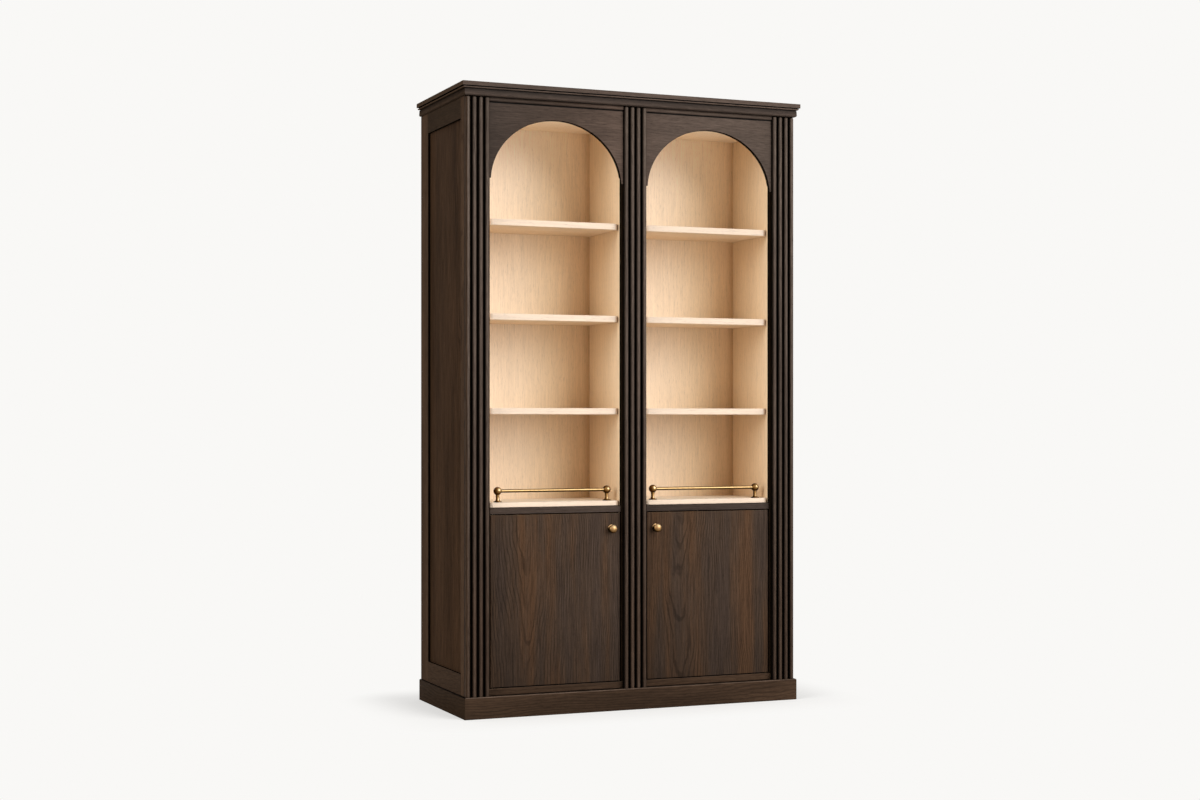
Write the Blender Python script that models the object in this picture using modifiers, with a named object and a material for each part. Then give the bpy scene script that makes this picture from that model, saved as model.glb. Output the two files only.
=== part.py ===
"""Arched double bookcase: a framed oak case with two light bays, arched header panels, reeded
pilasters, gallery rails and two doors on pivot hinges.

Metres, +Z up. The origin is on the floor, under the middle of the case. The front faces -Y and
+X is to the right of someone who faces it. A piece of the left bay has side -1, one of the
right bay has side +1, and its places along X are measured outwards from the case's middle.
"""

from math import asin, cos, degrees, pi, radians, sin, sqrt

import bmesh
import bpy

# The case as a whole
OVERALL_HEIGHT = 2.400
CARCASS_WIDTH = 1.393
PLINTH_DEPTH = 0.578
CORNICE_OVERHANG = 0.019
PLINTH_OVERHANG = 0.0075
SEAM = 0.0003

# Plinth
PLINTH_HEIGHT = 0.083
PLINTH_FRONT_THICKNESS = 0.038
PLINTH_SIDE_THICKNESS = 0.029
PLINTH_CHAMFER = 0.003

# Cornice, as steps of its profile from the top down
CORNICE_HEIGHT = 0.050
CORNICE_FILLET = 0.0155
CORNICE_BEAD_HEIGHT = 0.005
CORNICE_BEAD_DEPTH = 0.0045
CORNICE_BEAD_GROOVE = 0.0028
CORNICE_FASCIA_OVERHANG = 0.0085
CORNICE_FOOT = 0.0035

# Pilasters
PILASTER_WIDTH = 0.095
PILASTER_THICKNESS = 0.024
REEDS = 4
REED_PITCH = 0.0256
REED_RADIUS = 0.0086
REED_DEPTH = 0.014
REED_STEPS = 8

# Face frame
REVEAL = 0.0072
STILE_THICKNESS = 0.020
STILE_LIP = 0.0125
RAIL_HEIGHT = 0.025
RAIL_THICKNESS = 0.020
MID_RAIL_TOP = 0.794

# Arched header panels and the bead strips above them
ARCH_PANEL_THICKNESS = 0.0088
ARCH_TONGUE_THICKNESS = 0.0075
ARCH_TONGUE_START = 0.036
ARCH_SIDE_CLEARANCE = 0.0018
ARCH_RISE_SHARE = 0.905
ARCH_CROWN_HEIGHT = 0.0564
ARCH_FOOT_SHARE = 0.048
ARCH_STEPS = 40
HEADER_BEAD_HEIGHT = 0.017
HEADER_BEAD_PROUD = 0.0045

# Sides
SIDE_THICKNESS = 0.022
SIDE_FRONT_STILE = 0.043
SIDE_REAR_STILE = 0.095
SIDE_BOTTOM_RAIL = 0.0815
SIDE_TOP_RAIL = 0.080
SIDE_RECESS = 0.009
SIDE_REBATE = 0.010

# Top, rear, walls and linings
TOP_THICKNESS = 0.018
REAR_THICKNESS = 0.009
WALL_THICKNESS = 0.018
INNER_BACK_THICKNESS = 0.009
BAY_DEPTH = 0.3232
CEILING_DROP = 0.114
CEILING_THICKNESS = 0.018

# Counters and shelves
COUNTER_THICKNESS = 0.0187
COUNTER_SETBACK = 0.004
SHELF_THICKNESS = 0.024
SHELF_PITCH_SHARE = 0.2444
SHELF_SETBACK = 0.0135
SHELF_NAMES = ("lower", "middle", "upper")
SHELF_CORNER_RADIUS = 0.024
SHELF_CORNER_STEPS = 6
DADO_DEPTH = 0.005

# Doors and knobs
DOOR_THICKNESS = 0.020
DOOR_GAP = 0.0035
DOOR_EDGE_ROUNDING = 0.001
KNOB_INSET = 0.0363
KNOB_DROP = 0.061
KNOB_RADIUS = 0.0165
KNOB_HALF_DEPTH = 0.0105
KNOB_PROJECTION = 0.0305
KNOB_ROSE_RADIUS = 0.0155
KNOB_ROSE_THICKNESS = 0.0025
KNOB_STEM_RADIUS = 0.006
KNOB_STEPS = 24

# Pivot hinges, with the pivot measured from the door's outer edge and its front face
PIVOT_INSET = 0.008
PIVOT_BACKSET = 0.0075
LEAF_LENGTH = 0.044
LEAF_WIDTH = 0.010
LEAF_THICKNESS = 0.0025
PIVOT_PIN_RADIUS = 0.003
PIVOT_BORE_RADIUS = 0.00308
PIVOT_BOSS_RADIUS = 0.0045
PIVOT_STEPS = 24

# Gallery rails
GALLERY_SETBACK = 0.033
GALLERY_END_CLEARANCE = 0.0441
GALLERY_HEIGHT = 0.043
GALLERY_BALL_RADIUS = 0.0157
GALLERY_ROD_RADIUS = 0.0063
GALLERY_POST_RADIUS = 0.0062
GALLERY_FLANGE_RADIUS = 0.0158
GALLERY_FLANGE_THICKNESS = 0.0035
GALLERY_FLARE_RADIUS = 0.0105
GALLERY_FLARE_HEIGHT = 0.0085
GALLERY_SOCKET_DEPTH = 0.007
GALLERY_FIT = 0.0002
GALLERY_STEPS = 24

# How far a cutter runs past the face that it cuts, and how round shapes are made
OVERRUN = 0.002
BEAD_STEPS = 6
SMOOTH_CREASE = 50
WELD_DISTANCE = 0.00001

# Heights worked out from the values above
CORNICE_BOTTOM = OVERALL_HEIGHT - CORNICE_HEIGHT
TOP_BOTTOM = OVERALL_HEIGHT - TOP_THICKNESS
FLOOR_TOP = PLINTH_HEIGHT + RAIL_HEIGHT
MID_RAIL_BOTTOM = MID_RAIL_TOP - RAIL_HEIGHT
COUNTER_BOTTOM = MID_RAIL_TOP + SEAM
COUNTER_TOP = COUNTER_BOTTOM + COUNTER_THICKNESS
DOOR_BOTTOM = FLOOR_TOP + DOOR_GAP
DOOR_TOP = MID_RAIL_BOTTOM - DOOR_GAP
CEILING_HEIGHT = OVERALL_HEIGHT - CEILING_DROP
CEILING_TOP = CEILING_HEIGHT + CEILING_THICKNESS
SHELF_PITCH = (CEILING_HEIGHT - COUNTER_TOP) * SHELF_PITCH_SHARE
PILASTER_TOP = CORNICE_BOTTOM - SEAM
HEADER_BEAD_TOP = PILASTER_TOP - SEAM
HEADER_BEAD_BOTTOM = HEADER_BEAD_TOP - HEADER_BEAD_HEIGHT
ARCH_PANEL_TOP = HEADER_BEAD_BOTTOM - SEAM

# Depths, from the front of the cornice to the rear face
OVERALL_DEPTH = PLINTH_DEPTH - PLINTH_OVERHANG + CORNICE_OVERHANG
REAR_FACE = OVERALL_DEPTH / 2
CARCASS_FRONT = CORNICE_OVERHANG - OVERALL_DEPTH / 2
FRAME_FACE = CARCASS_FRONT + PILASTER_THICKNESS
FRAME_BACK = FRAME_FACE + STILE_THICKNESS
ARCH_PANEL_FACE = FRAME_FACE - ARCH_PANEL_THICKNESS
WALL_FRONT = FRAME_FACE + STILE_LIP + SEAM
BAY_BACK = FRAME_FACE + BAY_DEPTH
WALL_BACK = BAY_BACK - SEAM
PLINTH_FRONT = CARCASS_FRONT - PLINTH_OVERHANG
SHELF_FRONT = FRAME_FACE + SHELF_SETBACK
COUNTER_FRONT = FRAME_FACE + COUNTER_SETBACK

# Widths, outwards from the case's middle
CARCASS_HALF = CARCASS_WIDTH / 2
SIDE_INNER = CARCASS_HALF - SIDE_THICKNESS
BAY_INNER_PILASTER = PILASTER_WIDTH / 2
BAY_OUTER_PILASTER = CARCASS_HALF - PILASTER_WIDTH
OPENING_INNER = BAY_INNER_PILASTER + REVEAL
OPENING_OUTER = BAY_OUTER_PILASTER - REVEAL
BAY_CENTRE = (OPENING_INNER + OPENING_OUTER) / 2
OPENING_HALF = (OPENING_OUTER - OPENING_INNER) / 2
DOOR_INNER = OPENING_INNER + DOOR_GAP
DOOR_OUTER = OPENING_OUTER - DOOR_GAP
PIVOT_OUT = DOOR_OUTER - PIVOT_INSET
PIVOT_DEPTH = FRAME_FACE + PIVOT_BACKSET
SIDE_NAMES = {-1: "left", 1: "right"}

# The arch is half an ellipse, cut off a little above its centre
ARCH_HALF_WIDTH = OPENING_HALF - ARCH_SIDE_CLEARANCE
ARCH_RISE = ARCH_HALF_WIDTH * ARCH_RISE_SHARE
ARCH_CENTRE_HEIGHT = ARCH_PANEL_TOP - ARCH_CROWN_HEIGHT - ARCH_RISE
ARCH_FOOT = ARCH_RISE * ARCH_FOOT_SHARE
GALLERY_HALF_SPAN = OPENING_HALF - GALLERY_END_CLEARANCE


def clear_scene():
    for obj in list(bpy.data.objects):
        bpy.data.objects.remove(obj, do_unlink=True)


def collection(name, hidden=False):
    made = bpy.data.collections.new(name)
    made.hide_render = hidden
    bpy.context.scene.collection.children.link(made)
    return made


def material(name, colour, roughness, metallic=0.0):
    made = bpy.data.materials.new(name)
    made.use_nodes = True
    shader = made.node_tree.nodes["Principled BSDF"]
    shader.inputs["Base Color"].default_value = (*colour, 1.0)
    shader.inputs["Roughness"].default_value = roughness
    shader.inputs["Metallic"].default_value = metallic
    return made


clear_scene()
PARTS = collection("arched_bookcase")
CUTTERS = collection("cutters", hidden=True)
DARK_OAK = material("dark_oak", (0.050, 0.035, 0.026), 0.5)
LIGHT_OAK = material("light_oak", (0.68, 0.47, 0.29), 0.6)
AGED_BRASS = material("aged_brass", (0.45, 0.29, 0.11), 0.35, 1.0)


def add_object(name, data, finish, place=(0, 0, 0), turn=0.0):
    obj = bpy.data.objects.new(name, data)
    obj.location = place
    obj.rotation_euler = (0, 0, turn)
    if finish is None:
        CUTTERS.objects.link(obj)
        obj.hide_render = True
        obj.display_type = "WIRE"
    else:
        PARTS.objects.link(obj)
        data.materials.append(finish)
    return obj


def box(name, finish, x_span, y_span, z_span):
    """A board between two planes along each axis. Without a finish it is a cutter."""
    spans = [sorted(span) for span in (x_span, y_span, z_span)]
    shape = bmesh.new()
    bmesh.ops.create_cube(shape, size=1.0)
    bmesh.ops.scale(shape, vec=[high - low for low, high in spans], verts=shape.verts)
    mesh = bpy.data.meshes.new(name)
    shape.to_mesh(mesh)
    shape.free()
    return add_object(name, mesh, finish, [(low + high) / 2 for low, high in spans])


def rod_cutter(name, radius, centre, length, steps, along="Z"):
    """A cylinder that cuts a bore, with its axis along Z or X."""
    shape = bmesh.new()
    bmesh.ops.create_cone(
        shape, cap_ends=True, segments=steps, radius1=radius, radius2=radius, depth=length
    )
    mesh = bpy.data.meshes.new(name)
    shape.to_mesh(mesh)
    shape.free()
    made = add_object(name, mesh, None, centre)
    if along == "X":
        made.rotation_euler = (0, pi / 2, 0)
    return made


def combine(obj, operation, *tools):
    for tool in tools:
        modifier = obj.modifiers.new(tool.name, "BOOLEAN")
        modifier.operation = operation
        modifier.object = tool


def smooth(obj, sharp_above):
    obj.data.shade_smooth()
    obj.data.set_sharp_from_angle(angle=radians(sharp_above))


def swept(name, finish, corners, step, place, turn=0.0, mitres=(0, 0)):
    """A flat outline swept by a step. A mitred end runs on by each corner's distance to -Y."""
    shape = bmesh.new()
    near = [shape.verts.new(corner) for corner in corners]
    first = shape.faces.new(near)
    extruded = bmesh.ops.extrude_face_region(shape, geom=[first])
    far = [item for item in extruded["geom"] if isinstance(item, bmesh.types.BMVert)]
    bmesh.ops.translate(shape, vec=step, verts=far)
    for vertices, mitre in ((near, mitres[0]), (far, -mitres[1])):
        for vertex in vertices:
            vertex.co.x += mitre * vertex.co.y
    bmesh.ops.recalc_face_normals(shape, faces=shape.faces)
    mesh = bpy.data.meshes.new(name)
    shape.to_mesh(mesh)
    shape.free()
    return add_object(name, mesh, finish, place, turn)


def moulding(name, profile, length, place, turn=0.0, mitres=(0, 0)):
    """A dark moulding along X, with its profile's points given as (outwards, up)."""
    corners = [(0, -out, up) for out, up in profile]
    return swept(name, DARK_OAK, corners, (length, 0, 0), place, turn, mitres)


def upright(name, outline, height, place):
    """A dark board that stands on its outline's points, (x, y)."""
    corners = [(x, y, 0) for x, y in outline]
    return swept(name, DARK_OAK, corners, (0, 0, height), place)


def flat_shape(name, finish, points, thickness, place):
    """A level board cut to an outline: a filled 2D curve, extruded up and down from its middle."""
    curve = bpy.data.curves.new(name, "CURVE")
    curve.dimensions = "2D"
    curve.fill_mode = "BOTH"
    curve.extrude = thickness / 2
    spline = curve.splines.new("POLY")
    spline.points.add(len(points) - 1)
    for point, (across, up) in zip(spline.points, points):
        point.co = (across, up, 0, 1)
    spline.use_cyclic_u = True
    return add_object(name, curve, finish, place)


def turned(name, finish, profile, steps, place, tilt=0.0):
    """A turned piece. Its profile is (radius, height), from the top down."""
    mesh = bpy.data.meshes.new(name)
    points = [(radius, 0, height) for radius, height in profile]
    mesh.from_pydata(points, [(i, i + 1) for i in range(len(points) - 1)], [])
    made = add_object(name, mesh, finish, place)
    made.rotation_euler = (tilt, 0, 0)
    screw = made.modifiers.new("turning", "SCREW")
    screw.steps = steps
    screw.render_steps = steps
    screw.use_merge_vertices = True
    screw.merge_threshold = WELD_DISTANCE
    screw.use_smooth_shade = True
    return made


def arc(centre, radii, start, end, steps):
    """Points on an ellipse's arc, between two angles in degrees."""
    turns = [radians(start + (end - start) * i / steps) for i in range(steps + 1)]
    return [(centre[0] + radii[0] * cos(t), centre[1] + radii[1] * sin(t)) for t in turns]


def plinth_profile(thickness):
    return [
        (-thickness, 0),
        (0, 0),
        (0, PLINTH_HEIGHT - PLINTH_CHAMFER),
        (-PLINTH_CHAMFER, PLINTH_HEIGHT),
        (-thickness, PLINTH_HEIGHT),
    ]


def make_plinth():
    """A front board mitred to two returns, which the rear panel sits between."""
    width = CARCASS_WIDTH + 2 * PLINTH_OVERHANG
    depth = REAR_FACE - PLINTH_FRONT
    front = plinth_profile(PLINTH_FRONT_THICKNESS)
    side = plinth_profile(PLINTH_SIDE_THICKNESS)
    inset = SEAM / 2
    moulding("plinth_front", front, width - 2 * inset,
             (inset - width / 2, PLINTH_FRONT, 0), mitres=(1, 1))
    moulding("plinth_left", side, depth - inset,
             (-width / 2, REAR_FACE, 0), turn=-pi / 2, mitres=(0, 1))
    moulding("plinth_right", side, depth - inset,
             (width / 2, PLINTH_FRONT + inset, 0), turn=pi / 2, mitres=(1, 0))


def cornice_profile(back):
    """From the foot at the back, up the moulded face, to the top at the back."""
    top = CORNICE_HEIGHT
    fillet_bottom = top - CORNICE_FILLET
    bead_top = fillet_bottom - CORNICE_BEAD_GROOVE
    bead_bottom = bead_top - CORNICE_BEAD_HEIGHT
    fascia_top = bead_bottom - CORNICE_BEAD_GROOVE
    bead_root = CORNICE_FASCIA_OVERHANG + CORNICE_BEAD_GROOVE / 2
    bead = arc((bead_root, (bead_top + bead_bottom) / 2),
               (CORNICE_BEAD_DEPTH, CORNICE_BEAD_HEIGHT / 2), -90, 90, BEAD_STEPS)
    return [
        (back, 0),
        (CORNICE_FASCIA_OVERHANG - CORNICE_FOOT, 0),
        (CORNICE_FASCIA_OVERHANG, CORNICE_FOOT),
        (CORNICE_FASCIA_OVERHANG, fascia_top),
        (bead_root, fascia_top),
        *bead,
        (bead_root, fillet_bottom),
        (CORNICE_OVERHANG, fillet_bottom),
        (CORNICE_OVERHANG, top),
        (back, top),
    ]


def make_cornice():
    """Three mitred lengths round the front and sides. The front one is as deep as the pilasters."""
    profile = cornice_profile(SEAM)
    depth = REAR_FACE - CARCASS_FRONT
    inset = SEAM / 2
    front = moulding("cornice_front", cornice_profile(0), CARCASS_WIDTH - 2 * inset,
                     (inset - CARCASS_HALF, CARCASS_FRONT, CORNICE_BOTTOM), mitres=(1, 1))
    backing = box("cornice_backing", None, (inset - CARCASS_HALF, CARCASS_HALF - inset),
                  (CARCASS_FRONT - OVERRUN, FRAME_FACE), (CORNICE_BOTTOM, OVERALL_HEIGHT))
    combine(front, "UNION", backing)
    moulding("cornice_left", profile, depth - inset,
             (-CARCASS_HALF, REAR_FACE, CORNICE_BOTTOM), turn=-pi / 2, mitres=(0, 1))
    moulding("cornice_right", profile, depth - inset,
             (CARCASS_HALF, CARCASS_FRONT + inset, CORNICE_BOTTOM), turn=pi / 2, mitres=(1, 0))


def make_pilasters():
    """A board with reeds on its face: each has straight flanks and a half-round crest."""
    half = PILASTER_WIDTH / 2
    face = REED_DEPTH - PILASTER_THICKNESS
    shoulder = REED_RADIUS - REED_DEPTH
    outline = [(half, -SEAM), (-half, -SEAM), (-half, face)]
    for number in range(REEDS):
        middle = (number - (REEDS - 1) / 2) * REED_PITCH
        outline.append((middle - REED_RADIUS, face))
        outline += arc((middle, face + shoulder), (REED_RADIUS, REED_RADIUS), 180, 360, REED_STEPS)
        outline.append((middle + REED_RADIUS, face))
    outline.append((half, face))
    bottom = PLINTH_HEIGHT + SEAM
    outer = CARCASS_HALF - half
    for name, middle in (("left", -outer), ("centre", 0), ("right", outer)):
        board = upright(f"pilaster_{name}", outline, PILASTER_TOP - bottom,
                        (middle, FRAME_FACE, bottom))
        smooth(board, SMOOTH_CREASE)


def make_stiles():
    """Each stile has a lip over the front edges of the bay walls beside it."""
    bottom = FLOOR_TOP + SEAM
    height = TOP_BOTTOM - SEAM - bottom
    web_inner = OPENING_INNER - WALL_THICKNESS - SEAM
    lip_outer = SIDE_INNER - SEAM
    web_outer = OPENING_OUTER + WALL_THICKNESS + SEAM
    centre = [
        (-OPENING_INNER, 0), (OPENING_INNER, 0), (OPENING_INNER, STILE_LIP),
        (web_inner, STILE_LIP), (web_inner, STILE_THICKNESS),
        (-web_inner, STILE_THICKNESS), (-web_inner, STILE_LIP), (-OPENING_INNER, STILE_LIP),
    ]
    upright("stile_centre", centre, height, (0, FRAME_FACE, bottom))
    for side, name in SIDE_NAMES.items():
        outline = [
            (side * OPENING_OUTER, 0), (side * lip_outer, 0),
            (side * lip_outer, STILE_THICKNESS), (side * web_outer, STILE_THICKNESS),
            (side * web_outer, STILE_LIP), (side * OPENING_OUTER, STILE_LIP),
        ]
        upright(f"stile_{name}", outline, height, (0, FRAME_FACE, bottom))


def make_sides():
    """A frame with a window, rebated inside for a panel that sits back from its face."""
    window_front = FRAME_FACE + SIDE_FRONT_STILE
    window_rear = REAR_FACE - SIDE_REAR_STILE
    window_bottom = PLINTH_HEIGHT + SIDE_BOTTOM_RAIL
    window_top = CORNICE_BOTTOM - SIDE_TOP_RAIL
    panel_face = CARCASS_HALF - SIDE_RECESS
    for side, name in SIDE_NAMES.items():
        frame = box(f"side_frame_{name}", DARK_OAK,
                    (side * SIDE_INNER, side * CARCASS_HALF),
                    (FRAME_FACE + SEAM, REAR_FACE),
                    (PLINTH_HEIGHT + SEAM, TOP_BOTTOM - SEAM))
        window = box(f"window_{name}", None,
                     (side * (SIDE_INNER - OVERRUN), side * (CARCASS_HALF + OVERRUN)),
                     (window_front, window_rear), (window_bottom, window_top))
        rebate = box(f"rebate_{name}", None,
                     (side * (SIDE_INNER - OVERRUN), side * panel_face),
                     (window_front - SIDE_REBATE, window_rear + SIDE_REBATE),
                     (window_bottom - SIDE_REBATE, window_top + SIDE_REBATE))
        combine(frame, "DIFFERENCE", window, rebate)
        edge = SIDE_REBATE - SEAM
        box(f"side_panel_{name}", DARK_OAK,
            (side * SIDE_INNER, side * (panel_face - SEAM)),
            (window_front - edge, window_rear + edge),
            (window_bottom - edge, window_top + edge))


def make_top_and_rear():
    box("top_board", DARK_OAK, (-CARCASS_HALF, CARCASS_HALF),
        (FRAME_FACE + SEAM, REAR_FACE), (TOP_BOTTOM, OVERALL_HEIGHT))
    width = SIDE_INNER - SEAM
    box("rear_panel", DARK_OAK, (-width, width),
        (REAR_FACE - REAR_THICKNESS, REAR_FACE), (0, TOP_BOTTOM - SEAM))


def make_header(side, name):
    """An arched panel and the bead above it. The panel lies on the frame's face, between two
    pilasters, and the tongue behind it fits between the stiles."""
    half = BAY_CENTRE - BAY_INNER_PILASTER - SEAM
    top = ARCH_PANEL_TOP - ARCH_CENTRE_HEIGHT
    foot_turn = degrees(asin(ARCH_FOOT_SHARE))
    points = [(half, ARCH_FOOT), (half, top), (-half, top), (-half, ARCH_FOOT)]
    points += arc((0, 0), (ARCH_HALF_WIDTH, ARCH_RISE), 180 - foot_turn, foot_turn, ARCH_STEPS)
    outline = [(across, 0, up) for across, up in points]
    thickness = ARCH_PANEL_THICKNESS + ARCH_TONGUE_THICKNESS
    panel = swept(f"arch_panel_{name}", DARK_OAK, outline, (0, thickness, 0),
                  (side * BAY_CENTRE, ARCH_PANEL_FACE, ARCH_CENTRE_HEIGHT))
    tongue = OPENING_HALF - SEAM
    reach = half + OVERRUN
    bottom = ARCH_FOOT - OVERRUN
    above = top + OVERRUN
    around_tongue = [
        (-reach, bottom), (reach, bottom), (reach, above), (tongue, above),
        (tongue, ARCH_TONGUE_START), (-tongue, ARCH_TONGUE_START), (-tongue, above), (-reach, above),
    ]
    outline = [(across, 0, up) for across, up in around_tongue]
    rebate = swept(f"{name}_panel_rebate", None, outline, (0, ARCH_TONGUE_THICKNESS + OVERRUN, 0),
                   (side * BAY_CENTRE, FRAME_FACE - SEAM, ARCH_CENTRE_HEIGHT))
    combine(panel, "DIFFERENCE", rebate)
    crest = arc((ARCH_PANEL_THICKNESS, HEADER_BEAD_HEIGHT / 2),
                (HEADER_BEAD_PROUD, HEADER_BEAD_HEIGHT / 2), -90, 90, BEAD_STEPS)
    profile = [(SEAM, 0), *crest, (SEAM, HEADER_BEAD_HEIGHT)]
    bead = moulding(f"header_bead_{name}", profile, 2 * half,
                    (side * BAY_CENTRE - half, FRAME_FACE, HEADER_BEAD_BOTTOM))
    smooth(bead, SMOOTH_CREASE)


def leaf_mortise(name, side, face, inwards):
    """Cuts the seat of a hinge leaf into a horizontal face. Inwards is +1 for a seat above it."""
    reach = LEAF_LENGTH + 2 * SEAM
    width = LEAF_WIDTH / 2 + SEAM
    outer = PIVOT_OUT + LEAF_WIDTH / 2 + SEAM
    return box(name, None, (side * outer, side * (outer - reach)),
               (PIVOT_DEPTH - width, PIVOT_DEPTH + width),
               (face - inwards * OVERRUN, face + inwards * (LEAF_THICKNESS + SEAM)))


def leaf_plate(name, side, low, high):
    """A hinge leaf: a strip along the door's edge, with its pivot near the outer end."""
    outer = PIVOT_OUT + LEAF_WIDTH / 2
    return box(name, AGED_BRASS, (side * outer, side * (outer - LEAF_LENGTH)),
               (PIVOT_DEPTH - LEAF_WIDTH / 2, PIVOT_DEPTH + LEAF_WIDTH / 2), (low, high))


def make_hinge(side, name, end, door_face, frame_face):
    """A pivot hinge between two horizontal faces: the door's leaf carries a boss and a pin, which
    turns in the bore of the frame's leaf. Returns the door's leaf and the two mortises."""
    way = 1 if frame_face > door_face else -1
    axis = (side * PIVOT_OUT, PIVOT_DEPTH)
    door_low = door_face - way * LEAF_THICKNESS
    door_leaf = leaf_plate(f"{name}_{end}_hinge_door_leaf", side, door_low, door_face)
    boss_end = frame_face - way * SEAM
    pin_end = frame_face + way * LEAF_THICKNESS
    steps = (("boss", PIVOT_BOSS_RADIUS, boss_end), ("pin", PIVOT_PIN_RADIUS, pin_end))
    for part, radius, reach in steps:
        start = door_face - way * LEAF_THICKNESS / 2
        piece = rod_cutter(f"{name}_{end}_{part}", radius, (*axis, (start + reach) / 2),
                           abs(reach - start), PIVOT_STEPS)
        combine(door_leaf, "UNION", piece)
    frame_leaf = leaf_plate(f"{name}_{end}_hinge_frame_leaf", side, frame_face, pin_end)
    bore = rod_cutter(f"{name}_{end}_bore", PIVOT_BORE_RADIUS, (*axis, (frame_face + pin_end) / 2),
                      LEAF_THICKNESS + 2 * OVERRUN, PIVOT_STEPS)
    combine(frame_leaf, "DIFFERENCE", bore)
    door_seat = leaf_mortise(f"{name}_{end}_door_seat", side, door_face, -way)
    frame_seat = leaf_mortise(f"{name}_{end}_frame_seat", side, frame_face, way)
    return door_leaf, door_seat, frame_seat


def make_knob(side, name):
    """A flattened ball on a stem and a rose, turned about the axis that stands out of the door."""
    ball_middle = KNOB_PROJECTION - KNOB_HALF_DEPTH
    stem_share = KNOB_STEM_RADIUS / KNOB_RADIUS
    ball_foot = ball_middle - KNOB_HALF_DEPTH * sqrt(1 - stem_share ** 2)
    profile = [(0, KNOB_PROJECTION)]
    profile += [(KNOB_RADIUS * cos(radians(turn)), ball_middle + KNOB_HALF_DEPTH * sin(radians(turn)))
                for turn in range(75, -60, -15)]
    profile += [
        (KNOB_STEM_RADIUS, ball_foot),
        (KNOB_STEM_RADIUS, KNOB_ROSE_THICKNESS),
        (KNOB_ROSE_RADIUS, KNOB_ROSE_THICKNESS),
        (KNOB_ROSE_RADIUS, SEAM),
        (0, SEAM),
    ]
    place = (side * (DOOR_INNER + KNOB_INSET), FRAME_FACE, DOOR_TOP - KNOB_DROP)
    return turned(f"knob_{name}", AGED_BRASS, profile, KNOB_STEPS, place, tilt=pi / 2)


def make_door(side, name):
    """A slab door with its hinges and knob, which all hang on an empty on the pivot's axis."""
    door = box(f"door_{name}", DARK_OAK, (side * DOOR_INNER, side * DOOR_OUTER),
               (FRAME_FACE, FRAME_FACE + DOOR_THICKNESS), (DOOR_BOTTOM, DOOR_TOP))
    rounding = door.modifiers.new("edges", "BEVEL")
    rounding.width = DOOR_EDGE_ROUNDING
    rounding.segments = 1
    top = make_hinge(side, name, "upper", DOOR_TOP, MID_RAIL_BOTTOM)
    bottom = make_hinge(side, name, "lower", DOOR_BOTTOM, FLOOR_TOP)
    combine(door, "DIFFERENCE", top[1], bottom[1])
    axis = bpy.data.objects.new(f"{name}_door_axis", None)
    axis.location = (side * PIVOT_OUT, PIVOT_DEPTH, DOOR_BOTTOM)
    PARTS.objects.link(axis)
    for moving in (door, top[0], bottom[0], make_knob(side, name)):
        moving.parent = axis
        moving.location = moving.location - axis.location
    return top[2], bottom[2]


def make_frame_of_bay(side, name, rail_seat, floor_seat):
    """The mid rail over the door and the cabinet floor under it, each seated for a hinge leaf."""
    rail = box(f"mid_rail_{name}", DARK_OAK,
               (side * (OPENING_INNER + SEAM), side * (OPENING_OUTER - SEAM)),
               (FRAME_FACE, FRAME_FACE + RAIL_THICKNESS), (MID_RAIL_BOTTOM, MID_RAIL_TOP))
    combine(rail, "DIFFERENCE", rail_seat)
    floor = box(f"cabinet_floor_{name}", DARK_OAK,
                (side * SEAM, side * (SIDE_INNER - SEAM)),
                (FRAME_FACE + SEAM, REAR_FACE - REAR_THICKNESS - SEAM),
                (PLINTH_HEIGHT + SEAM, FLOOR_TOP))
    combine(floor, "DIFFERENCE", floor_seat)


def level_outline(front, corner):
    """A counter or shelf from above: rounded front corners, and tongues behind them that run
    into the walls' dados. Points are (outwards from the bay's middle, depth)."""
    half = OPENING_HALF - SEAM
    tongue = half + DADO_DEPTH
    tongue_start = front + corner
    right = arc((half - corner, front + corner), (corner, corner), -90, 0, SHELF_CORNER_STEPS)
    right += [(tongue, tongue_start), (tongue, WALL_BACK)]
    return right + [(-across, depth) for across, depth in reversed(right)]


def levels_of_bay():
    """Name, front, bottom and thickness of each level: the counter and the shelves above it."""
    levels = [("counter", COUNTER_FRONT, COUNTER_BOTTOM, COUNTER_THICKNESS)]
    for number, shelf in enumerate(SHELF_NAMES, start=1):
        top = COUNTER_TOP + number * SHELF_PITCH
        levels.append((f"{shelf}_shelf", SHELF_FRONT, top - SHELF_THICKNESS, SHELF_THICKNESS))
    return levels


def make_levels(side, name):
    for level, front, bottom, thickness in levels_of_bay():
        points = level_outline(front, SHELF_CORNER_RADIUS)
        flat_shape(f"{name}_{level}", LIGHT_OAK, points, thickness,
                   (side * BAY_CENTRE, 0, bottom + thickness / 2))


def make_walls(side, name):
    """Two light walls, with dados that hold the counter and the shelves."""
    faces = (("inner", OPENING_INNER, -1), ("outer", OPENING_OUTER, 1))
    for wall_name, face, away in faces:
        wall = box(f"{name}_bay_{wall_name}_wall", LIGHT_OAK,
                   (side * face, side * (face + away * WALL_THICKNESS)),
                   (WALL_FRONT, WALL_BACK), (FLOOR_TOP + SEAM, CEILING_HEIGHT - SEAM))
        for level, front, bottom, thickness in levels_of_bay():
            dado = box(f"{name}_{wall_name}_{level}_dado", None,
                       (side * (face - away * OVERRUN), side * (face + away * (DADO_DEPTH + SEAM))),
                       (front + SHELF_CORNER_RADIUS - SEAM, WALL_BACK + OVERRUN),
                       (bottom - SEAM, bottom + thickness + SEAM))
            combine(wall, "DIFFERENCE", dado)


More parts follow.
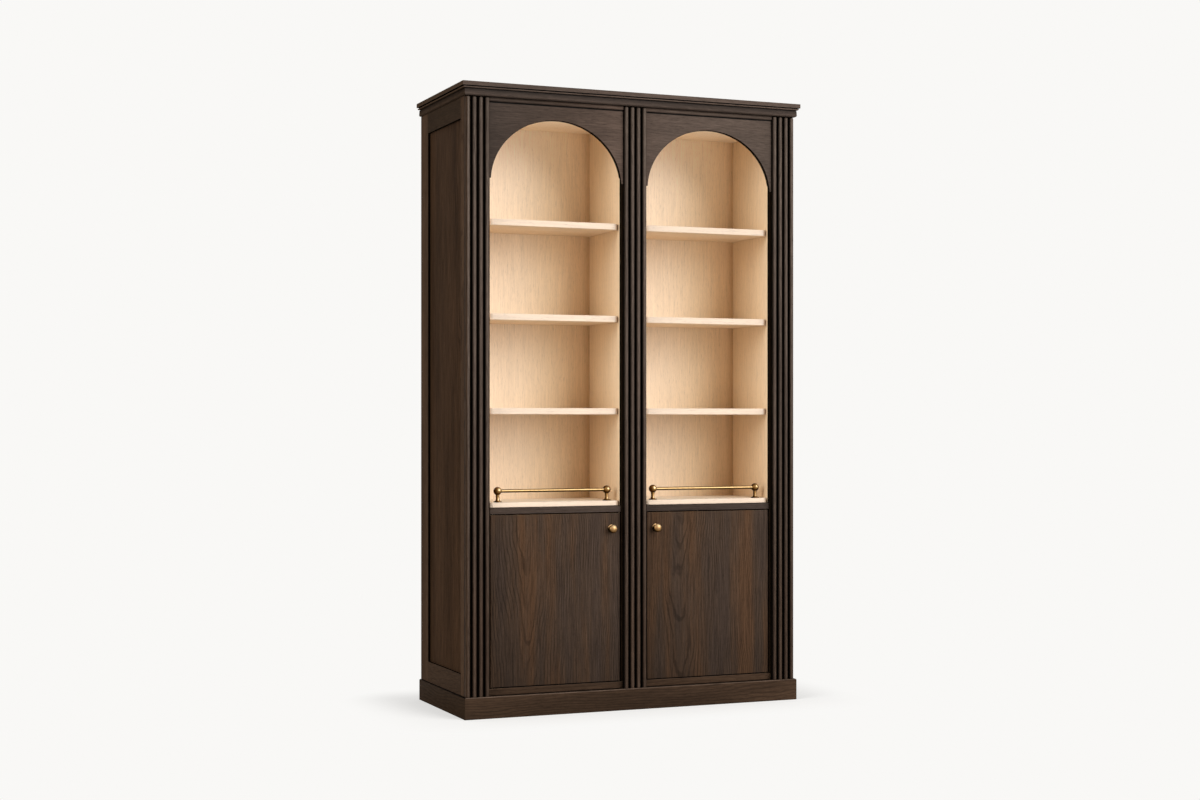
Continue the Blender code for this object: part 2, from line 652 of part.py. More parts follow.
def make_linings(side, name):
    inner = OPENING_INNER - WALL_THICKNESS
    outer = OPENING_OUTER + WALL_THICKNESS
    box(f"inner_back_{name}", LIGHT_OAK, (side * inner, side * outer),
        (BAY_BACK, BAY_BACK + INNER_BACK_THICKNESS), (FLOOR_TOP + SEAM, CEILING_TOP))
    box(f"ceiling_{name}", LIGHT_OAK, (side * inner, side * outer),
        (FRAME_BACK + SEAM, WALL_BACK), (CEILING_HEIGHT, CEILING_TOP))


def gallery_profile():
    """From the top of the ball down its neck to the flange."""
    ball = GALLERY_BALL_RADIUS
    middle = GALLERY_HEIGHT
    flange_top = GALLERY_FLANGE_THICKNESS
    profile = [(0, middle + ball)]
    profile += [(ball * cos(radians(turn)), middle + ball * sin(radians(turn)))
                for turn in range(72, -60, -18)]
    profile += [
        (GALLERY_POST_RADIUS, middle - sqrt(ball ** 2 - GALLERY_POST_RADIUS ** 2)),
        (GALLERY_POST_RADIUS, flange_top + GALLERY_FLARE_HEIGHT),
        (GALLERY_FLARE_RADIUS, flange_top),
        (GALLERY_FLANGE_RADIUS, flange_top),
        (GALLERY_FLANGE_RADIUS, SEAM),
        (0, SEAM),
    ]
    return profile


def make_gallery(side, name):
    """A rod whose ends sit in sockets in the balls of two turned posts."""
    depth = COUNTER_FRONT + GALLERY_SETBACK
    height = COUNTER_TOP + GALLERY_HEIGHT
    middle = side * BAY_CENTRE
    socket_end = GALLERY_HALF_SPAN - GALLERY_BALL_RADIUS + GALLERY_SOCKET_DEPTH
    for hand, post_name in SIDE_NAMES.items():
        across = middle + hand * GALLERY_HALF_SPAN
        post = turned(f"{name}_gallery_{post_name}_post", AGED_BRASS, gallery_profile(),
                      GALLERY_STEPS, (across, depth, COUNTER_TOP))
        reach = GALLERY_SOCKET_DEPTH + GALLERY_BALL_RADIUS
        centre = middle + hand * (socket_end - reach / 2)
        socket = rod_cutter(f"{name}_{post_name}_socket", GALLERY_ROD_RADIUS + GALLERY_FIT,
                            (centre, depth, height), reach, GALLERY_STEPS, along="X")
        combine(post, "DIFFERENCE", socket)
    curve = bpy.data.curves.new(f"{name}_gallery_rod", "CURVE")
    curve.dimensions = "3D"
    curve.bevel_depth = GALLERY_ROD_RADIUS
    curve.use_fill_caps = True
    spline = curve.splines.new("POLY")
    spline.points.add(1)
    for point, hand in zip(spline.points, SIDE_NAMES):
        point.co = (hand * (socket_end - SEAM), 0, 0, 1)
    add_object(f"{name}_gallery_rod", curve, AGED_BRASS, (middle, depth, height))


def main():
    make_plinth()
    make_cornice()
    make_pilasters()
    make_stiles()
    make_sides()
    make_top_and_rear()
    for side, name in SIDE_NAMES.items():
        make_header(side, name)
        rail_seat, floor_seat = make_door(side, name)
        make_frame_of_bay(side, name, rail_seat, floor_seat)
        make_levels(side, name)
        make_walls(side, name)
        make_linings(side, name)
        make_gallery(side, name)


main()
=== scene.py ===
"""Looks of the arched bookcase: dark stained oak outside, light oak in the bays and aged brass.

Metres, +Z up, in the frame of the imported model. The front faces -Y. Each visible piece is an
eased or finer version of its CAD node, with a procedural finish.
"""

from math import asin, cos, degrees, pi, radians, sin, sqrt

import bmesh
import bpy
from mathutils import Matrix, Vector


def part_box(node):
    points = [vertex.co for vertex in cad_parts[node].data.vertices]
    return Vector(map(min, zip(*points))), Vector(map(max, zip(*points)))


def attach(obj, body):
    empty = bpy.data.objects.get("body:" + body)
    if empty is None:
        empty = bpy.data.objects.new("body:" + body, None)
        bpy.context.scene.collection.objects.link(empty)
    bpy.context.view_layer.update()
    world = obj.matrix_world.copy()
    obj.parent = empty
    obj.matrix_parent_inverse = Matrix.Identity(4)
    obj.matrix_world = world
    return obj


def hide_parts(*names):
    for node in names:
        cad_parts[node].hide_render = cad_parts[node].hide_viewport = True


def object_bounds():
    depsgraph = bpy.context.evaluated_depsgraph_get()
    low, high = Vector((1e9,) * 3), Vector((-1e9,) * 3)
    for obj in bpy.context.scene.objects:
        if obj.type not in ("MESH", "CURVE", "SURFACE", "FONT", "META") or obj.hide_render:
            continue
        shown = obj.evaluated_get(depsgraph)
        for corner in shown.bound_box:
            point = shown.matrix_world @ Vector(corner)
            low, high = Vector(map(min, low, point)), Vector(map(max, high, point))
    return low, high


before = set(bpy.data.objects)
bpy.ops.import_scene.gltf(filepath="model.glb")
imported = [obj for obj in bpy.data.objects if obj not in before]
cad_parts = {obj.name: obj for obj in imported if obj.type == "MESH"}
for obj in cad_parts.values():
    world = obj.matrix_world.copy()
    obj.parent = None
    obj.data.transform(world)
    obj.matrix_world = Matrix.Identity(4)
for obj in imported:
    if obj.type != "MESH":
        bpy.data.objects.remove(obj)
CAD_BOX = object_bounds()

SIDES = ("left", "right")
LEVELS = ("counter", "lower_shelf", "middle_shelf", "upper_shelf")
LEFT = Vector((-1, 0, 0))
RIGHT = Vector((1, 0, 0))
FRONT = Vector((0, -1, 0))
UP = Vector((0, 0, 1))
DOWN = Vector((0, 0, -1))
WELD_DISTANCE = 0.00001
FLAT_ANGLE = radians(1)
CREASE_ANGLE = radians(32)
TURNING_CREASE = radians(40)
REED_CREASE = radians(50)

# How much of a face's normal points a way when the face counts as looking that way
SQUARE_ON = 0.5
REED_FLANK = 0.45

# Camera, fitted to the photograph's plinth, cornice and arches
CAMERA_PLACE = (-2.9718, -7.0619, 1.1275)
CAMERA_YAW = 22.5635
CAMERA_LENS = 57.02
CAMERA_SENSOR = 36.0
CAMERA_SHIFT = 0.0166
CAMERA_REACH = 200

# Light and backdrop. Azimuths turn from the front, -Y, towards +X
BACKDROP = (0.947, 0.939, 0.922)
SKY_STRENGTH = 0.40
KEY_STRENGTH = 2.6
KEY_SOFTNESS = 46
KEY_AZIMUTH = 34
KEY_ELEVATION = 20
FILL_STRENGTH = 1.7
FILL_SOFTNESS = 40
FILL_AZIMUTH = -75
FILL_ELEVATION = 20
FLOOR_ALBEDO = 0.8
FLOOR_ROUGHNESS = 0.9
FLOOR_SHADE_SHARE = 0.50
FLOOR_SHADE_REACH = 0.32
FLOOR_HALF_SIZE = 40.0

# How much the edges of boards are rounded over
EASE = 0.0009
MOULDING_EASE = EASE / 3
RAIL_EASE = EASE / 2
DOOR_EASE = 0.0004
ARCH_EASE = 0.0010
SHELF_EASE = 0.0018
EASE_STEPS = 3
SEAM = 0.0003

# Sides and bays
SIDE_PANEL_TONGUE = 0.0097
SIDE_RECESS = 0.009
BAY_CENTRE = 0.3245
SHELF_CORNER_RADIUS = 0.024
SHELF_CORNER_STEPS = 16
DADO_DEPTH = 0.005

# Pilasters
REEDS = 4
REED_PITCH = 0.0256
REED_RADIUS = 0.0086
REED_DEPTH = 0.014
REED_STEPS = 20
REED_CAP_TURN = 86
REED_CAP_STEPS = 7

# Arched panels. The foot share is how much of the rise lies below the panel's foot
ARCH_FOOT_SHARE = 0.048
ARCH_CROWN_SEARCH = 0.005
ARCH_TONGUE_START = 0.036
ARCH_STEPS = 120

# Cornice, and the beads over the arched panels
CORNICE_OVERHANG = 0.019
CORNICE_FILLET = 0.0160
CORNICE_QUIRK = 0.0027
CORNICE_UPPER_SEAT = 0.0095
CORNICE_LOWER_SEAT = 0.0045
CORNICE_BEAD = 0.0050
CORNICE_BEAD_SEAT = 0.0105
CORNICE_BEAD_REACH = 0.0148
CORNICE_FASCIA = 0.0085
CORNICE_FOOT = 0.0035
CORNICE_LEAN = 0.0012
BEAD_PROUD = 0.0045
BEAD_QUIRK = 0.0012
BEAD_QUIRK_SEAT = 0.0035
MOULDING_STEPS = 12

# Knobs and galleries. The arcs are in degrees from the widest ring of a ball
TURNING_STEPS = 64
KNOB_RADIUS = 0.0164
KNOB_HALF_DEPTH = 0.0105
KNOB_STEM_RADIUS = 0.006
KNOB_ARC = (-62, 85)
KNOB_STEPS = 24
ROSE_RADIUS = 0.0155
ROSE_THICKNESS = 0.0025
ROSE_EASE = 0.0010
BALL_RADIUS = 0.0157
BALL_ARC = (-62, 86)
BALL_STEPS = 28
FLANGE_THICKNESS = 0.0035
FLANGE_EASE = 0.001
FLANGE_ARC = (15, 90)
FLANGE_STEPS = 4
POST_FLARE = [(0.0105, FLANGE_THICKNESS), (0.0090, 0.0055), (0.0074, 0.0085), (0.0062, 0.0120)]
ROD_EASE = 0.0005

# Grain: cells per metre across, through and along the board, of the colour bands, of the
# mottling and of the fibres
DARK_GRAIN = ((10.0, 10.0, 1.0), (170.0, 170.0, 28.0), (320.0, 320.0, 20.0))
DOOR_GRAIN = ((13.0, 13.0, 1.2), (150.0, 150.0, 12.0), (300.0, 300.0, 9.0))
LIGHT_GRAIN = ((10.0, 10.0, 1.0), (200.0, 200.0, 6.0), (330.0, 330.0, 9.0))
PORE_STRETCH = (900.0, 900.0, 40.0)
BOARD_SHIFT = (7.3, 0.0, 11.9)

# Growth rings: their spacing and the shade of their dark lines, and how they wander
DARK_FIGURE = (0.011, 0.70)
DOOR_FIGURE = (0.0085, 0.62)
CALM_FIGURE = (0.010, 0.88)
LIGHT_FIGURE = (0.014, 0.975)
WAVE_PERIOD = 2 * pi / 20
RING_WAVER = {"Distortion": 0.8, "Detail": 2.0, "Detail Scale": 1.5}
RING_WANDER_STRETCH = (5.0, 5.0, 2.0)
RING_WANDER = (0.09, 0.07, 0.0)
RING_TILT = 3.0
RING_DEPTH = 0.32
RING_OFFSET = 0.08
RING_LINE = (0.66, 0.95)
FADE_STRETCH = (9.0, 9.0, 2.5)
FADING = [(0.40, 0.25), (0.56, 1.0)]

# Wood: where each pattern starts and ends on its noise, and how much it does
MOTTLING_SPAN = (0.35, 0.65)
FIBRE_SPAN = (0.3, 0.7)
PORE_SPAN = (0.60, 0.70)
GLOSS_SPAN = (0.2, 0.8)
FIBRE_DULLNESS = 0.10
FIBRE_GLOSS = 0.06
WOOD_RELIEF = {"Distance": 0.00025, "Strength": 0.35}
DARK_MOTTLING = 0.14
DARK_FIBRES = (0.78, 1.16)
PANEL_FIBRES = (0.72, 1.26)
DOOR_FIBRES = (0.68, 1.28)
DARK_PORES = 0.55
DARK_ROUGHNESS = 0.55
LIGHT_SPREAD = 0.02
LIGHT_MOTTLING = 0.025
LIGHT_FIBRES = (0.93, 1.06)
LIGHT_PORES = 0.78
LIGHT_ROUGHNESS = 0.6
LIGHT_SHEEN = 0.25
BAND_PLACES = (0.34, 0.50, 0.66)
SPREAD = 0.2
BASE_SPREAD = 0.25
PANEL_SPREAD = 0.3
MOULDING_SPREAD = 0.15
FRONT_SHEEN = 0.06
REED_SHEEN = 0.05
DOOR_SHEEN = 0.04
BASE_SHEEN = 0.02
SIDE_SHEEN = 0.004

# Tones of the boards
HEADER_TONE = (0.062, 0.043, 0.033)
BASE_TONE = (0.0470, 0.0273, 0.0164)
STILE_TONE = (0.060, 0.034, 0.0195)
PANEL_TONE = (0.044, 0.023, 0.0118)
RETURN_TONE = (0.037, 0.022, 0.013)
TOP_RAIL_TONE = (0.034, 0.0205, 0.0118)
FOOT_RAIL_TONE = (0.048, 0.0282, 0.0168)
MID_RAIL_TONE = (0.056, 0.038, 0.029)
FOOT_TONE = (0.030, 0.0175, 0.010)
STRIP_TONE = (0.020, 0.012, 0.007)
# Nearly black: painted shade for gaps, recesses and the undersides of edges
EDGE_TONE = (0.006, 0.004, 0.0025)
REED_TONE = (0.107, 0.079, 0.062)
SHELF_TONE = (0.81, 0.635, 0.485)
LINING_TONE = (0.92, 0.73, 0.53)
CEILING_TONE = (1.0, 0.80, 0.58)
WALL_TONE = (0.90, 0.69, 0.46)
DOOR_BANDS = [
    (0.34, (0.048, 0.0305, 0.0215)),
    (0.46, (0.053, 0.0322, 0.0207)),
    (0.54, (0.063, 0.0350, 0.0200)),
    (0.66, (0.077, 0.0390, 0.0195)),
]

# Tints that follow a place on the part, as ramps of (position, shade or colour). All but the reeds' fade are
# painted light: painted shade, highlights and sheen.
# The reeds: painted shade in the grooves, nearly black, and a painted highlight on the crests
REED_PAINTED_LIGHT = [(0.0, 0.003), (0.50, 0.01), (0.80, (0.46, 0.42, 0.38)), (1.0, 1.18)]
REED_FADE = [(0.15, (0.52, 0.44, 0.38)), (0.52, (0.78, 0.76, 0.75)), (0.85, 1.02)]
# A painted sheen on the front's boards, paler towards the right
BASE_PAINTED_SHEEN = [(0.0, 0.93), (0.45, 1.0), (1.0, (1.26, 1.24, 1.22))]
HEADER_PAINTED_SHEEN = [
    (0.05, 0.87),
    (0.30, (1.16, 1.10, 1.05)),
    (0.44, (1.68, 1.60, 1.56)),
    (0.62, 1.53),
    (1.0, (1.43, 1.46, 1.46)),
]
# The backs: painted shade lower down and painted light at the top
BACK_PAINTED_LIGHT = [
    (0.0, (0.82, 0.77, 0.69)),
    (0.30, (0.92, 0.89, 0.85)),
    (0.55, 0.98),
    (0.80, 1.02),
    (1.0, (1.17, 1.21, 1.27)),
]
# The backs: painted light on the left of each bay, painted shade towards the right, darkest in the corner
BACK_PAINTED_SHADE = [
    (0.10, (0.97, 1.02, 1.12)),
    (0.45, (1.01, 1.03, 1.05)),
    (0.65, (0.98, 0.95, 0.87)),
    (0.76, (0.99, 0.92, 0.80)),
    (0.86, (0.92, 0.81, 0.66)),
    (0.905, (0.72, 0.58, 0.42)),
]
# The walls: painted shade lower down and a little at the top
WALL_PAINTED_SHADE = [
    (0.0, (0.84, 0.80, 0.73)),
    (0.30, (0.92, 0.87, 0.81)),
    (0.55, 0.98),
    (1.0, (0.94, 0.91, 0.87)),
]
# The cornice: painted shade in the quirks and on the fascia under the bead, painted highlights on the
# fascia's foot, the bead and the fillet
CORNICE_PAINTED_LIGHT = [
    (0.0, 1.30),
    (0.14, 1.10),
    (0.46, 0.40),
    (0.47, 0.01),
    (0.52, 0.01),
    (0.53, 2.1),
    (0.62, 2.1),
    (0.63, 0.01),
    (0.68, 0.01),
    (0.69, 1.55),
    (1.0, 1.45),
]
# The beads: painted shade in the quirk and a painted highlight on the crest
BEAD_PAINTED_LIGHT = [(0.0, 0.02), (0.06, 0.05), (0.09, 0.75), (0.45, 1.3), (1.0, 1.35)]
# Painted shade along the top of the arched panels, under the bead
UNDER_BEAD_SHADE = [(0.0, 1.0), (0.25, 0.03), (1.0, 0.02)]
UNDER_BEAD_SHADE_REACH = 0.0042

# Painted highlights and shade that follow the way a surface faces
# The doors' arrises: a painted highlight at the top and left, painted shade at the bottom and right
DOOR_WAY = (-0.5, 0.0, 0.85)
DOOR_ARRIS_HIGHLIGHT = [(0.0, 1.0), (0.30, 1.7), (0.55, 1.9)]
DOOR_SHADED_WAY = (0.5, 0.0, -0.85)
DOOR_SHADED_ARRIS = [(0.0, 1.0), (0.25, 0.20), (0.45, 0.05)]
# The plinth's front and the cabinet floors: a painted highlight on the top front arris and painted shade on
# what faces up
BASE_WAY = (0.0, -0.7, 0.7)
BASE_ARRIS_HIGHLIGHT = [(0.80, 1.0), (0.92, 1.5), (0.99, (2.3, 2.7, 3.3))]
BASE_TOP_SHADE = [(0.93, 1.0), (0.99, 0.25)]
# The plinth's sides: painted shade on what faces up
FOOT_TOP_SHADE = [(0.60, 1.0), (0.80, 0.10), (1.0, 0.03)]
# The shelves: painted light on the left-facing ends and tops, painted shade on the right-facing ends and
# undersides
SHELF_LEFT_HIGHLIGHT = [(0.02, 1.0), (0.30, 1.20), (1.0, 1.22)]
SHELF_RIGHT_SHADE = [
    (0.25, 1.0),
    (0.55, (0.82, 0.73, 0.63)),
    (0.75, (0.66, 0.55, 0.44)),
    (0.95, (0.60, 0.48, 0.37)),
]
SHELF_TOP_HIGHLIGHT = [(0.60, 1.0), (0.95, (1.20, 1.36, 1.46))]
SHELF_UNDERSIDE_SHADE = [(0.60, 1.0), (0.95, (1.02, 0.98, 0.86))]

# Brass: painted highlights and shade by the way it faces, painted shade where its parts meet, a painted dark
# reflection at its rim, and tarnish in patches
# A painted dark reflection at grazing angles on all brass
BRASS_DARK_REFLECTION = (0.06, 0.033, 0.012)
TARNISH_STRETCH = (90.0, 90.0, 90.0)
TARNISH = [(0.32, 0.72), (0.62, 1.0)]
SCRATCH_STRETCH = (600.0, 600.0, 600.0)
SCRATCH_SPAN = (0.3, 0.7)
SCRATCH_GLOSS = 0.05
BRASS_RELIEF = {"Distance": 0.0001, "Strength": 0.2}
KNOB_ROUGHNESS = 0.48
BRASS_ROUGHNESS = 0.40
KNOB_WAY = (0.15, -0.70, 0.70)
KNOB_PAINTED_LIGHT = [
    (0.0, (0.06, 0.026, 0.007)),
    (0.15, (0.15, 0.075, 0.024)),
    (0.40, (0.25, 0.135, 0.050)),
    (0.75, (0.36, 0.21, 0.090)),
    (0.97, (0.62, 0.43, 0.23)),
]
# Painted shade on the knobs towards the door
KNOB_SHADE = [(0.05, 0.10), (0.35, 0.12), (0.50, (0.75, 0.60, 0.45)), (0.58, 1.0)]
# The roses: a painted highlight at the top, painted shade below where the ball's shadow falls
ROSE_SHADE = [(0.0, 0.08), (0.52, 0.12), (0.74, 1.5), (1.0, 1.7)]
POST_WAY = (0.25, -0.85, 0.46)
POST_PAINTED_LIGHT = [
    (0.10, (0.055, 0.021, 0.004)),
    (0.45, (0.12, 0.053, 0.013)),
    (0.70, (0.23, 0.115, 0.034)),
    (0.88, (0.33, 0.19, 0.07)),
    (0.98, (0.72, 0.52, 0.28)),
]
# Painted shade in the angle between each flange and its counter
FLANGE_SHADE = [(0.0, (0.35, 0.27, 0.20)), (0.8, (0.45, 0.35, 0.25)), (1.0, 1.0)]
FLANGE_REACH = 0.0075
ROD_WAY = (0.0, -0.95, 0.30)
ROD_PAINTED_LIGHT = [
    (0.36, (0.045, 0.018, 0.004)),
    (0.72, (0.07, 0.031, 0.008)),
    (0.89, (0.28, 0.16, 0.055)),
    (0.98, (0.47, 0.31, 0.14)),
]
# The hinge leaves: painted nearly black as the shade in the door gaps
HINGE_PAINTED_SHADE = [(0.05, (0.02, 0.014, 0.008)), (1.0, (0.05, 0.035, 0.02))]


def add(tree, kind, inputs=None, **settings):
    """Adds a shader node. An input is a value or another node's socket."""
    made = tree.nodes.new("ShaderNode" + kind)
    for name, value in settings.items():
        setattr(made, name, value)
    for key, value in (inputs or {}).items():
        if isinstance(value, bpy.types.NodeSocket):
            tree.links.new(value, made.inputs[key])
        else:
            made.inputs[key].default_value = value
    return made


def maths(tree, operation, *values):
    return add(tree, "Math", dict(enumerate(values)), operation=operation).outputs[0]


def vector_maths(tree, operation, *values):
    return add(tree, "VectorMath", dict(enumerate(values)), operation=operation).outputs["Vector"]


def noise(tree, place, stretch, detail=3.0, roughness=0.55):
    """Noise whose cells have the size 1 / stretch along each axis."""
    spread = add(tree, "Mapping", {"Vector": place, "Scale": stretch}).outputs["Vector"]
    inputs = {"Vector": spread, "Scale": 1.0, "Detail": detail, "Roughness": roughness}
    return add(tree, "TexNoise", inputs).outputs["Fac"]


def ramp(tree, factor, stops):
    """A colour ramp from (position, colour) stops. A number is a grey."""
    made = add(tree, "ValToRGB", {"Fac": factor})
    elements = made.color_ramp.elements
    while len(elements) < len(stops):
        elements.new(0.5)
    for element, (position, colour) in zip(elements, stops):
        element.position = position
        element.color = (*colour, 1) if isinstance(colour, tuple) else (colour, colour, colour, 1)
    return made.outputs["Color"]


def between(span, first, last):
    """The stops of a ramp from one value to another over a span."""
    return [(span[0], first), (span[1], last)]


def blend(tree, kind, amount, first, second):
    inputs = {"Fac": amount, "Color1": first, "Color2": second}
    return add(tree, "MixRGB", inputs, blend_type=kind).outputs["Color"]


def multiplied(tree, first, second):
    return blend(tree, "MULTIPLY", 1.0, first, second)


def blank(name, roughness, metallic=0.0, specular=0.5):
    """A material with its node tree and its shader."""
    made = bpy.data.materials.new(name)
    made.use_nodes = True
    shader = made.node_tree.nodes["Principled BSDF"]
    shader.inputs["Roughness"].default_value = roughness
    shader.inputs["Metallic"].default_value = metallic
    shader.inputs["Specular IOR Level"].default_value = specular
    return made, made.node_tree, shader


def from_bay_middle(tree, across):
    """How far a place across the case lies from the middle of its own bay."""
    shifted = maths(tree, "SUBTRACT", across, BAY_CENTRE)
    return maths(tree, "WRAP", shifted, BAY_CENTRE, -BAY_CENTRE)


def board_coordinates(tree, along):
    """Object coordinates turned so that the grain runs along Z, plain and shifted by board."""
    turns = {"X": (0, pi / 2, 0), "Y": (pi / 2, 0, 0), "Z": (0, 0, 0)}
    place = add(tree, "TexCoord").outputs["Object"]
    turned = add(tree, "Mapping", {"Vector": place, "Rotation": turns[along]}).outputs["Vector"]
    chance = add(tree, "ObjectInfo").outputs["Random"]
    shift = add(tree, "CombineXYZ", {"X": chance, "Y": 0.0, "Z": chance}).outputs["Vector"]
    shift = vector_maths(tree, "MULTIPLY", shift, BOARD_SHIFT)
    return turned, vector_maths(tree, "ADD", turned, shift)


def growth_rings(tree, turned, shifted, spacing):
    """Plain-sawn figure: rings about an axis that leans through the board near the middle of
    each bay, which draw long pointed arches on its face."""
    parts = add(tree, "SeparateXYZ", {"Vector": turned}).outputs
    across = from_bay_middle(tree, maths(tree, "ADD", parts["X"], RING_OFFSET))
    centred = {"X": across, "Y": parts["Y"], "Z": parts["Z"]}
    centred = add(tree, "CombineXYZ", centred).outputs["Vector"]
    wander = add(tree, "Mapping", {"Vector": shifted, "Scale": RING_WANDER_STRETCH}).outputs["Vector"]
    wander = add(tree, "TexNoise", {"Vector": wander, "Scale": 1.0, "Detail": 3.0}).outputs["Color"]
    offset = vector_maths(tree, "MULTIPLY", wander, RING_WANDER)
    leaning = {"Vector": vector_maths(tree, "ADD", centred, offset)}
    leaning["Rotation"] = (radians(RING_TILT), 0, 0)
    leaning["Location"] = (0.0, RING_DEPTH, 0.0)
    tilted = add(tree, "Mapping", leaning).outputs["Vector"]
    rings = {"Vector": tilted, "Scale": WAVE_PERIOD / spacing, **RING_WAVER}
    return add(tree, "TexWave", rings, wave_type="RINGS", rings_direction="Z").outputs["Fac"]


def wood(name, along, bands, figure, grain, marks, roughness, sheen):
    """Oak: broad colour bands, growth rings that fade in and out, mottling, fine fibres and short
    pores along the grain. The marks are how strong the mottling, fibres and pores are."""
    made, tree, shader = blank(name, roughness, specular=sheen)
    turned, place = board_coordinates(tree, along)
    spacing, line_shade = figure
    band_stretch, mottling_stretch, fibre_stretch = grain
    mottling, fibre_tones, pore_tone = marks
    colour = ramp(tree, noise(tree, place, band_stretch), bands)
    rings = growth_rings(tree, turned, place, spacing)
    lines = ramp(tree, rings, between(RING_LINE, 1.0, line_shade))
    fading = ramp(tree, noise(tree, place, FADE_STRETCH, detail=2.0), FADING)
    colour = blend(tree, "MULTIPLY", fading, colour, lines)
    patches = noise(tree, place, mottling_stretch, detail=2.0)
    patches = ramp(tree, patches, between(MOTTLING_SPAN, 1 - mottling, 1.0))
    fibres = noise(tree, place, fibre_stretch)
    fibre_shade = ramp(tree, fibres, between(FIBRE_SPAN, *fibre_tones))
    pores = noise(tree, place, PORE_STRETCH, detail=1.0)
    pore_marks = ramp(tree, pores, between(PORE_SPAN, 1.0, pore_tone))
    for pattern in (patches, fibre_shade, pore_marks):
        colour = multiplied(tree, colour, pattern)
    tree.links.new(colour, shader.inputs["Base Color"])
    gloss = between(GLOSS_SPAN, roughness + FIBRE_DULLNESS, roughness - FIBRE_GLOSS)
    tree.links.new(ramp(tree, fibres, gloss), shader.inputs["Roughness"])
    bump = {"Height": multiplied(tree, pore_marks, fibre_shade), **WOOD_RELIEF}
    tree.links.new(add(tree, "Bump", bump).outputs["Normal"], shader.inputs["Normal"])
    return made


def shades(tone, spread):
    """Colour bands from a darker to a paler version of a tone."""
    shares = (1 - spread, 1.0, 1 + spread)
    return [(place, tuple(channel * share for channel in tone)) for place, share in zip(BAND_PLACES, shares)]


def dark_oak(name, along, bands, sheen, figure=DARK_FIGURE, grain=DARK_GRAIN, fibres=DARK_FIBRES):
    marks = (DARK_MOTTLING, fibres, DARK_PORES)
    return wood(f"dark_oak_{name}", along, bands, figure, grain, marks, DARK_ROUGHNESS, sheen)


def light_oak(name, along, tone):
    bands = shades(tone, LIGHT_SPREAD)
    marks = (LIGHT_MOTTLING, LIGHT_FIBRES, LIGHT_PORES)
    full_name = f"light_oak_{name}"
    return wood(full_name, along, bands, LIGHT_FIGURE, LIGHT_GRAIN, marks, LIGHT_ROUGHNESS, LIGHT_SHEEN)


def tint(made, factor, stops):
    """Multiplies a material's colour by a ramp over a factor."""
    tree = made.node_tree
    socket = tree.nodes["Principled BSDF"].inputs["Base Color"]
    colour = socket.links[0].from_socket
    tree.links.new(multiplied(tree, colour, ramp(tree, factor, stops)), socket)
    return made


def object_place(tree):
    """The coordinates of a place on the part, one socket for each axis."""
    return add(tree, "SeparateXYZ", {"Vector": add(tree, "TexCoord").outputs["Object"]}).outputs


def share_of_way(tree, value, start, end):
    """0 to 1 as a value goes from one number to another."""
    return add(tree, "MapRange", {"Value": value, "From Min": start, "From Max": end}).outputs["Result"]


def tint_along(made, axis, start, end, stops):
    """Tints a material from one place to another along an axis of the part."""
    tree = made.node_tree
    return tint(made, share_of_way(tree, object_place(tree)[axis], start, end), stops)


def facing(tree, way):
    """How far a surface faces a way, from -1 to 1."""
    inputs = {0: add(tree, "TexCoord").outputs["Normal"], 1: Vector(way).normalized()}
    return add(tree, "VectorMath", inputs, operation="DOT_PRODUCT").outputs["Value"]


def painted_by_facing(made, way, stops):
    """Tints the faces and arrises that face a way, with painted highlights and painted shade."""
    return tint(made, facing(made.node_tree, way), stops)


def faded(made, node, stops):
    """Paints a sheen on the front's boards, paler towards the right, between the ends of a node."""
    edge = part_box(node)[1].x
    return tint_along(made, "X", -edge, edge, stops)


def moulded_oak(name, along, tone, node, stops, sheen):
    """A moulding: painted shade lies in its quirks and under its fillet, and painted highlights on its
    rounds.
    """
    made = dark_oak(name, along, shades(tone, MOULDING_SPREAD), sheen, CALM_FIGURE)
    low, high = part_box(node)
    return tint_along(made, "Z", low.z, high.z, stops)


def reeded_oak():
    """The pilasters: painted shade lies in the grooves, nearly black, and a painted highlight on the
    crests, and they are darker towards the floor."""
    made = dark_oak("reeded", "Z", shades(REED_TONE, SPREAD), REED_SHEEN)
    low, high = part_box("pilaster_centre")
    tint_along(made, "Y", low.y + REED_DEPTH, low.y, REED_PAINTED_LIGHT)
    return tint_along(made, "Z", 0.0, high.z, REED_FADE)


def header_oak():
    """The arched panels: painted shade lies along their top, under the bead, and a painted sheen grows paler
    towards the right.
    """
    made = dark_oak("header", "X", shades(HEADER_TONE, SPREAD), FRONT_SHEEN, CALM_FIGURE)
    faded(made, "stile_right", HEADER_PAINTED_SHEEN)
    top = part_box("arch_panel_left")[1].z
    return tint_along(made, "Z", top - UNDER_BEAD_SHADE_REACH, top, UNDER_BEAD_SHADE)


def bead_oak():
    # Painted shade in the quirk, a painted highlight on the crest, and the front's painted sheen
    made = moulded_oak("bead", "X", HEADER_TONE, "header_bead_left", BEAD_PAINTED_LIGHT, FRONT_SHEEN)
    return faded(made, "stile_right", HEADER_PAINTED_SHEEN)


def base_oak():
    """The front's lower boards: a painted highlight on the front arris, painted shade on what faces up, and a
    painted sheen paler towards the right.
    """
    made = dark_oak("base", "X", shades(BASE_TONE, BASE_SPREAD), BASE_SHEEN)
    faded(made, "plinth_front", BASE_PAINTED_SHEEN)
    painted_by_facing(made, BASE_WAY, BASE_ARRIS_HIGHLIGHT)
    return painted_by_facing(made, UP, BASE_TOP_SHADE)


def foot_oak():
    # Painted shade on what faces up, at the top of the plinth's sides
    made = dark_oak("foot", "Y", shades(FOOT_TONE, SPREAD), SIDE_SHEEN)
    return painted_by_facing(made, UP, FOOT_TOP_SHADE)


